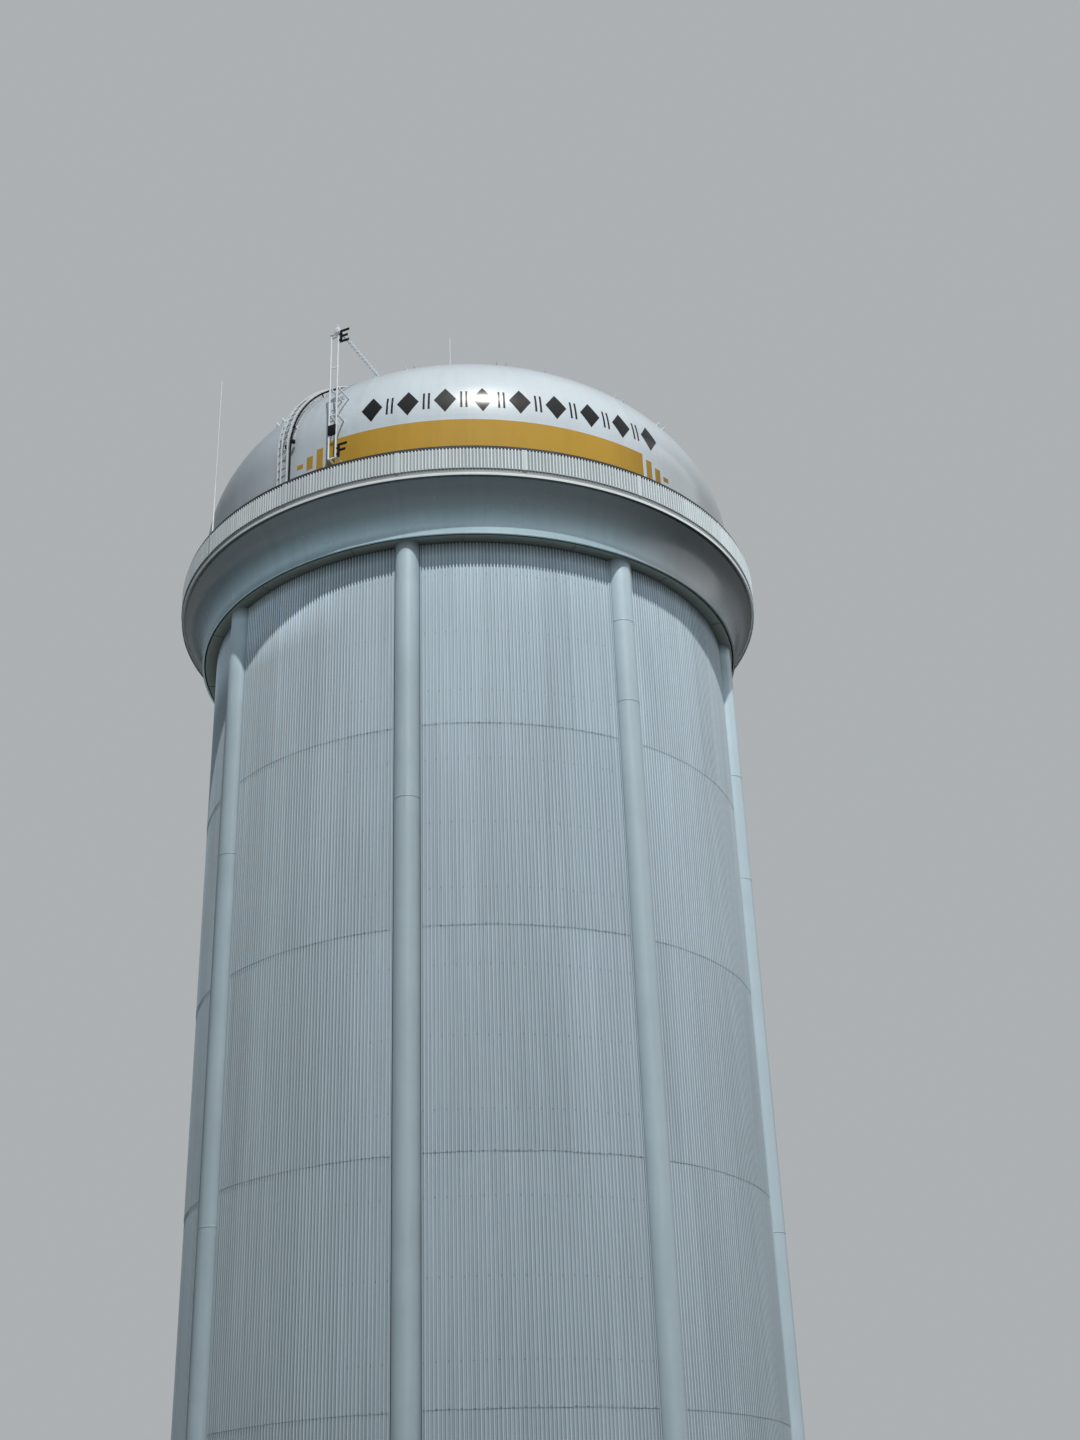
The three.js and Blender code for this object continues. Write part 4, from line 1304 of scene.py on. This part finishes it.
# Radius, level and outward slope along the tank's outline at a distance off it
def tankOutline(distance):
    points = [(dome["radius"] + distance, ladder["foot"], Vector((1, 0)))]
    last = math.acos(ladder["topRadius"] / dome["radius"])
    for i in range(ladder["steps"] + 1):
        turn = last * i / ladder["steps"]
        normal = Vector((math.cos(turn) / dome["radius"], math.sin(turn) / dome["rise"])).normalized()
        r = dome["radius"] * math.cos(turn) + distance * normal.x
        z = dome["shoulder"] + dome["rise"] * math.sin(turn) + distance * normal.y
        points.append((r, z, normal))
    return points


# Places at equal steps along such an outline
def outlinePlaces(distance, pitch):
    line = tankOutline(distance)
    places, carried = [], pitch / 2
    for (r0, z0, n0), (r1, z1, n1) in zip(line, line[1:]):
        length = math.hypot(r1 - r0, z1 - z0)
        while carried <= length:
            share = carried / length
            slope = n0.lerp(n1, share).normalized()
            places.append((r0 + (r1 - r0) * share, z0 + (z1 - z0) * share, slope))
            carried += pitch
        carried -= length
    return places


# A place on the outline, its own +Y towards the tank
def onOutline(x, r, z, normal):
    tilt = Matrix.Rotation(-math.atan2(normal.y, normal.x), 4, "X")
    return standing(ladder["azimuth"]) @ Matrix.Translation((x, -r, z)) @ tilt


# A flat bar over the tank between two distances off it
def addStrap(shape, x, half, near, far):
    base = standing(ladder["azimuth"])
    rows = []
    for (r0, z0, _), (r1, z1, _) in zip(tankOutline(near), tankOutline(far)):
        corners = ((x - half, -r0, z0), (x + half, -r0, z0), (x + half, -r1, z1), (x - half, -r1, z1))
        rows.append([base @ Vector(corner) for corner in corners])
    skin(shape, rows)


def buildLadder():
    base, stand = standing(ladder["azimuth"]), ladder["stand"]
    sides = (-ladder["half"], ladder["half"])
    wide, depth = ladder["stringerWidth"] / 2, ladder["stringerDepth"] / 2
    bracket, pad, sink = ladder["bracketHalf"], ladder["padHalf"], ladder["sink"]
    clipX, clipY, clipZ = ladder["clip"]
    shape, rungs = newShape(), newShape()
    for x in sides:
        addStrap(shape, x, wide, stand - depth, stand + depth)
    far = stand + depth
    addStrap(shape, 0, ladder["climbRail"] / 2, far + ladder["climbFrom"], far + ladder["climbTo"])
    for index, (r, z, normal) in enumerate(outlinePlaces(stand, ladder["rungPitch"])):
        ends = [base @ Vector((x, -r, z)) for x in sides]
        addTube(rungs, ends, ladder["rungRadius"], ladder["rungSides"])
        if index % ladder["clipEvery"] != ladder["clipEvery"] // 2:
            continue
        place = onOutline(0, r, z, normal)
        addBlock(shape, place, (-clipX, -clipY, -clipZ), (clipX, 0, clipZ), fineEdge)
        for x in sides:
            place = onOutline(x, r, z, normal)
            addBlock(shape, place, (-wide, 0, -bracket), (wide, stand + sink, bracket), fineEdge)
            addBlock(shape, place, (-pad, stand - ladder["padBack"], -pad), (pad, stand + sink, pad))
    addPiece("dome_ladder", shape, finish["white"], ["roof_ladder"])
    addPiece("ladder_rungs", rungs, finish["zinc"])


# A block round the middle of a place, by its half sizes
def addMiddleBlock(shape, place, halves, ease=softEdge):
    addBlock(shape, place, [-half for half in halves], halves, ease)


def buildDarkConduit():
    base, stand, stem = standing(ladder["azimuth"]), darkPipe["stand"], darkPipe["stemHalf"]
    x = darkPipe["at"]
    shape = newShape()
    line = [base @ Vector((x, -r, z)) for r, z, _ in tankOutline(stand)]
    addTube(shape, line, darkPipe["radius"], darkPipe["sides"])
    for spot in outlinePlaces(stand, ladder["rungPitch"] * ladder["clipEvery"]):
        place = onOutline(x, *spot)
        addMiddleBlock(shape, place, darkPipe["clamp"])
        addBlock(shape, place, (-stem, 0, -stem), (stem, stand + ladder["sink"], stem), fineEdge)
    for boxX, level in darkPipe["boxes"]:
        spot = tankPoint(level, 0, stand)
        place = base @ Matrix.Translation((boxX, -math.hypot(spot.x, spot.y), spot.z))
        addMiddleBlock(shape, place, darkPipe["box"], darkPipe["boxEase"])
    addPiece("dark_conduit", shape, finish["black"], ["ladder_conduit"])


buildLadder()
buildDarkConduit()
print("ladder made")


# Rod antennas: a sleeve and a thinner whip

rods = {
    "flange": 0.055, "flangeHeight": 0.015, "flangeEdge": 0.002, "rootDepth": 0.055, "sleeve": 0.013,
    "fillet": (0.006, 0.012), "collar": 0.003, "collarHeights": (0.010, 0.006, 0.004), "whip": 0.009,
    "tip": 0.006, "tipRound": 0.003, "sides": 20,
}
rodPlaces = {
    "whip_antenna": {"azimuth": -69.5, "circle": 4.80, "joint": 17.9705},
    "roof_antenna": {"azimuth": -49.2, "circle": 0.448, "joint": 21.30},
}


# The foot and the base are the levels under and on the flange
def buildRod(name, node, foot, base):
    place = standing(rodPlaces[node]["azimuth"], rodPlaces[node]["circle"])
    joint, top = rodPlaces[node]["joint"], localReach(node, place)[1].z
    flange, edge, sleeve = rods["flange"], rods["flangeEdge"], rods["sleeve"]
    collar, (below, start, above) = sleeve + rods["collar"], rods["collarHeights"]
    profile = [
        (0, foot), (flange, foot), (flange, base - edge), (flange - edge, base),
        (sleeve + rods["fillet"][0], base), (sleeve, base + rods["fillet"][1]), (sleeve, joint - below),
        (collar, joint - start), (collar, joint), (rods["whip"], joint + above),
        (rods["tip"], top - rods["tipRound"]), (0, top),
    ]
    shape = newShape()
    turnedSolid(shape, profile, rods["sides"], place)
    addPiece(name, shape, finish["white"], [node])


whipFoot = nodeReach("whip_antenna")["bottom"]
buildRod("whip_rod", "whip_antenna", whipFoot, whipFoot + rods["flangeHeight"])
buildRod("roof_rod", "roof_antenna", roof["top"] - rods["rootDepth"], roof["top"] + rods["flangeHeight"])
print("rods made")


# Studio: pale floor, soft daylight and a sun, and the camera at the photo's own angle

studio = {
    "skyColour": (0.92, 0.97, 1.0), "skyStrength": 0.47, "skyLeft": 0.25, "skyRight": 1.15, "skyEdge": 0.9,
    "shadeColour": (0.76, 0.93, 1.10), "shadeEnd": 0.5, "backdrop": 0.45,
    "floorSize": 400.0, "floorCells": 8, "floorColour": (0.33, 0.345, 0.35), "floorRoughness": 0.9,
    "floorSpecular": 0.1, "floorTones": (0.98, 1.02), "floorScale": 0.05,
}
lamps = {
    "sun": {"azimuth": 0.0, "elevation": 58.5, "strength": 3.6, "softness": 0.9, "colour": (1.0, 0.97, 0.92)},
    # a wide, soft glow from the right
    "cloudGlow": {
        "azimuth": 85.0, "elevation": 22.0, "strength": 0.5, "softness": 50.0, "colour": (0.97, 0.98, 1.0),
    },
}
view = {
    "azimuth": -10.17, "distance": 26.473, "height": 0.80, "heading": -12.68, "pitch": 27.61, "roll": -2.15,
    "lens": 44.18, "sensor": 36.0, "clipEnd": 1000,
}


def addLight(name, look):
    lamp = bpy.data.lights.new(name, "SUN")
    lamp.energy = look["strength"]
    lamp.color = look["colour"]
    lamp.angle = math.radians(look["softness"])
    light = addObject(name, lamp)
    rise = math.radians(look["elevation"])
    source = ringPoint(math.cos(rise), math.radians(look["azimuth"]), math.sin(rise))
    light.rotation_mode = "QUATERNION"
    light.rotation_quaternion = source.to_track_quat("Z", "Y")


# Light from all round, stronger from the right and bluer from the left, with a plain backdrop
def buildSky():
    world = bpy.data.worlds.new("daylight")
    bpy.context.scene.world = world
    world.use_nodes = True
    tree = world.node_tree
    way = tree.nodes.new("ShaderNodeTexCoord").outputs["Generated"]
    side = addNode(tree, "ShaderNodeSeparateXYZ", {0: way}).outputs["X"]
    seen = tree.nodes.new("ShaderNodeLightPath").outputs["Is Camera Ray"]
    left, right = [studio[key] * studio["skyStrength"] for key in ("skyLeft", "skyRight")]
    light = spread(tree, side, -studio["skyEdge"], studio["skyEdge"], left, right)
    hidden = times(tree, light, combine(tree, "SUBTRACT", 1.0, seen))
    strength = plus(tree, hidden, times(tree, seen, studio["backdrop"]))
    shaded = spread(tree, side, -studio["skyEdge"], studio["shadeEnd"])
    tint = blend(tree, shaded, studio["shadeColour"], studio["skyColour"])
    values = {"Color": blend(tree, seen, tint, studio["skyColour"]), "Strength": strength}
    setInputs(tree, tree.nodes["Background"], values)


def buildFloor():
    material, tree, shader = startMaterial("paleFloor", studio["floorRoughness"], studio["floorSpecular"])
    clouds = noise(tree, objectVector(tree), studio["floorScale"], detail=2.0)
    colour = shade(tree, studio["floorColour"], between(tree, clouds, *studio["floorTones"]))
    setInputs(tree, shader, {"Base Color": colour})
    shape = bmesh.new()
    cells = studio["floorCells"]
    bmesh.ops.create_grid(shape, x_segments=cells, y_segments=cells, size=studio["floorSize"] / 2)
    floor = addMesh("floor", shape, material)


def buildCamera():
    lens = bpy.data.cameras.new("photoCamera")
    lens.sensor_width = view["sensor"]
    lens.lens = view["lens"]
    lens.clip_end = view["clipEnd"]
    camera = addObject("photoCamera", lens)
    spot = standing(view["azimuth"], view["distance"], view["height"]).translation
    turns = ((view["heading"], "Z"), (90 + view["pitch"], "X"), (view["roll"], "Z"))
    heading, tilt, roll = [Matrix.Rotation(math.radians(angle), 4, axis) for angle, axis in turns]
    camera.matrix_world = Matrix.Translation(spot) @ heading @ tilt @ roll
    bpy.context.scene.camera = camera


buildSky()
for lampName, lampLook in lamps.items():
    addLight(lampName, lampLook)
buildFloor()
buildCamera()
bpy.context.scene.view_settings.view_transform = "Standard"
print("studio made")

bpy.context.view_layer.update()
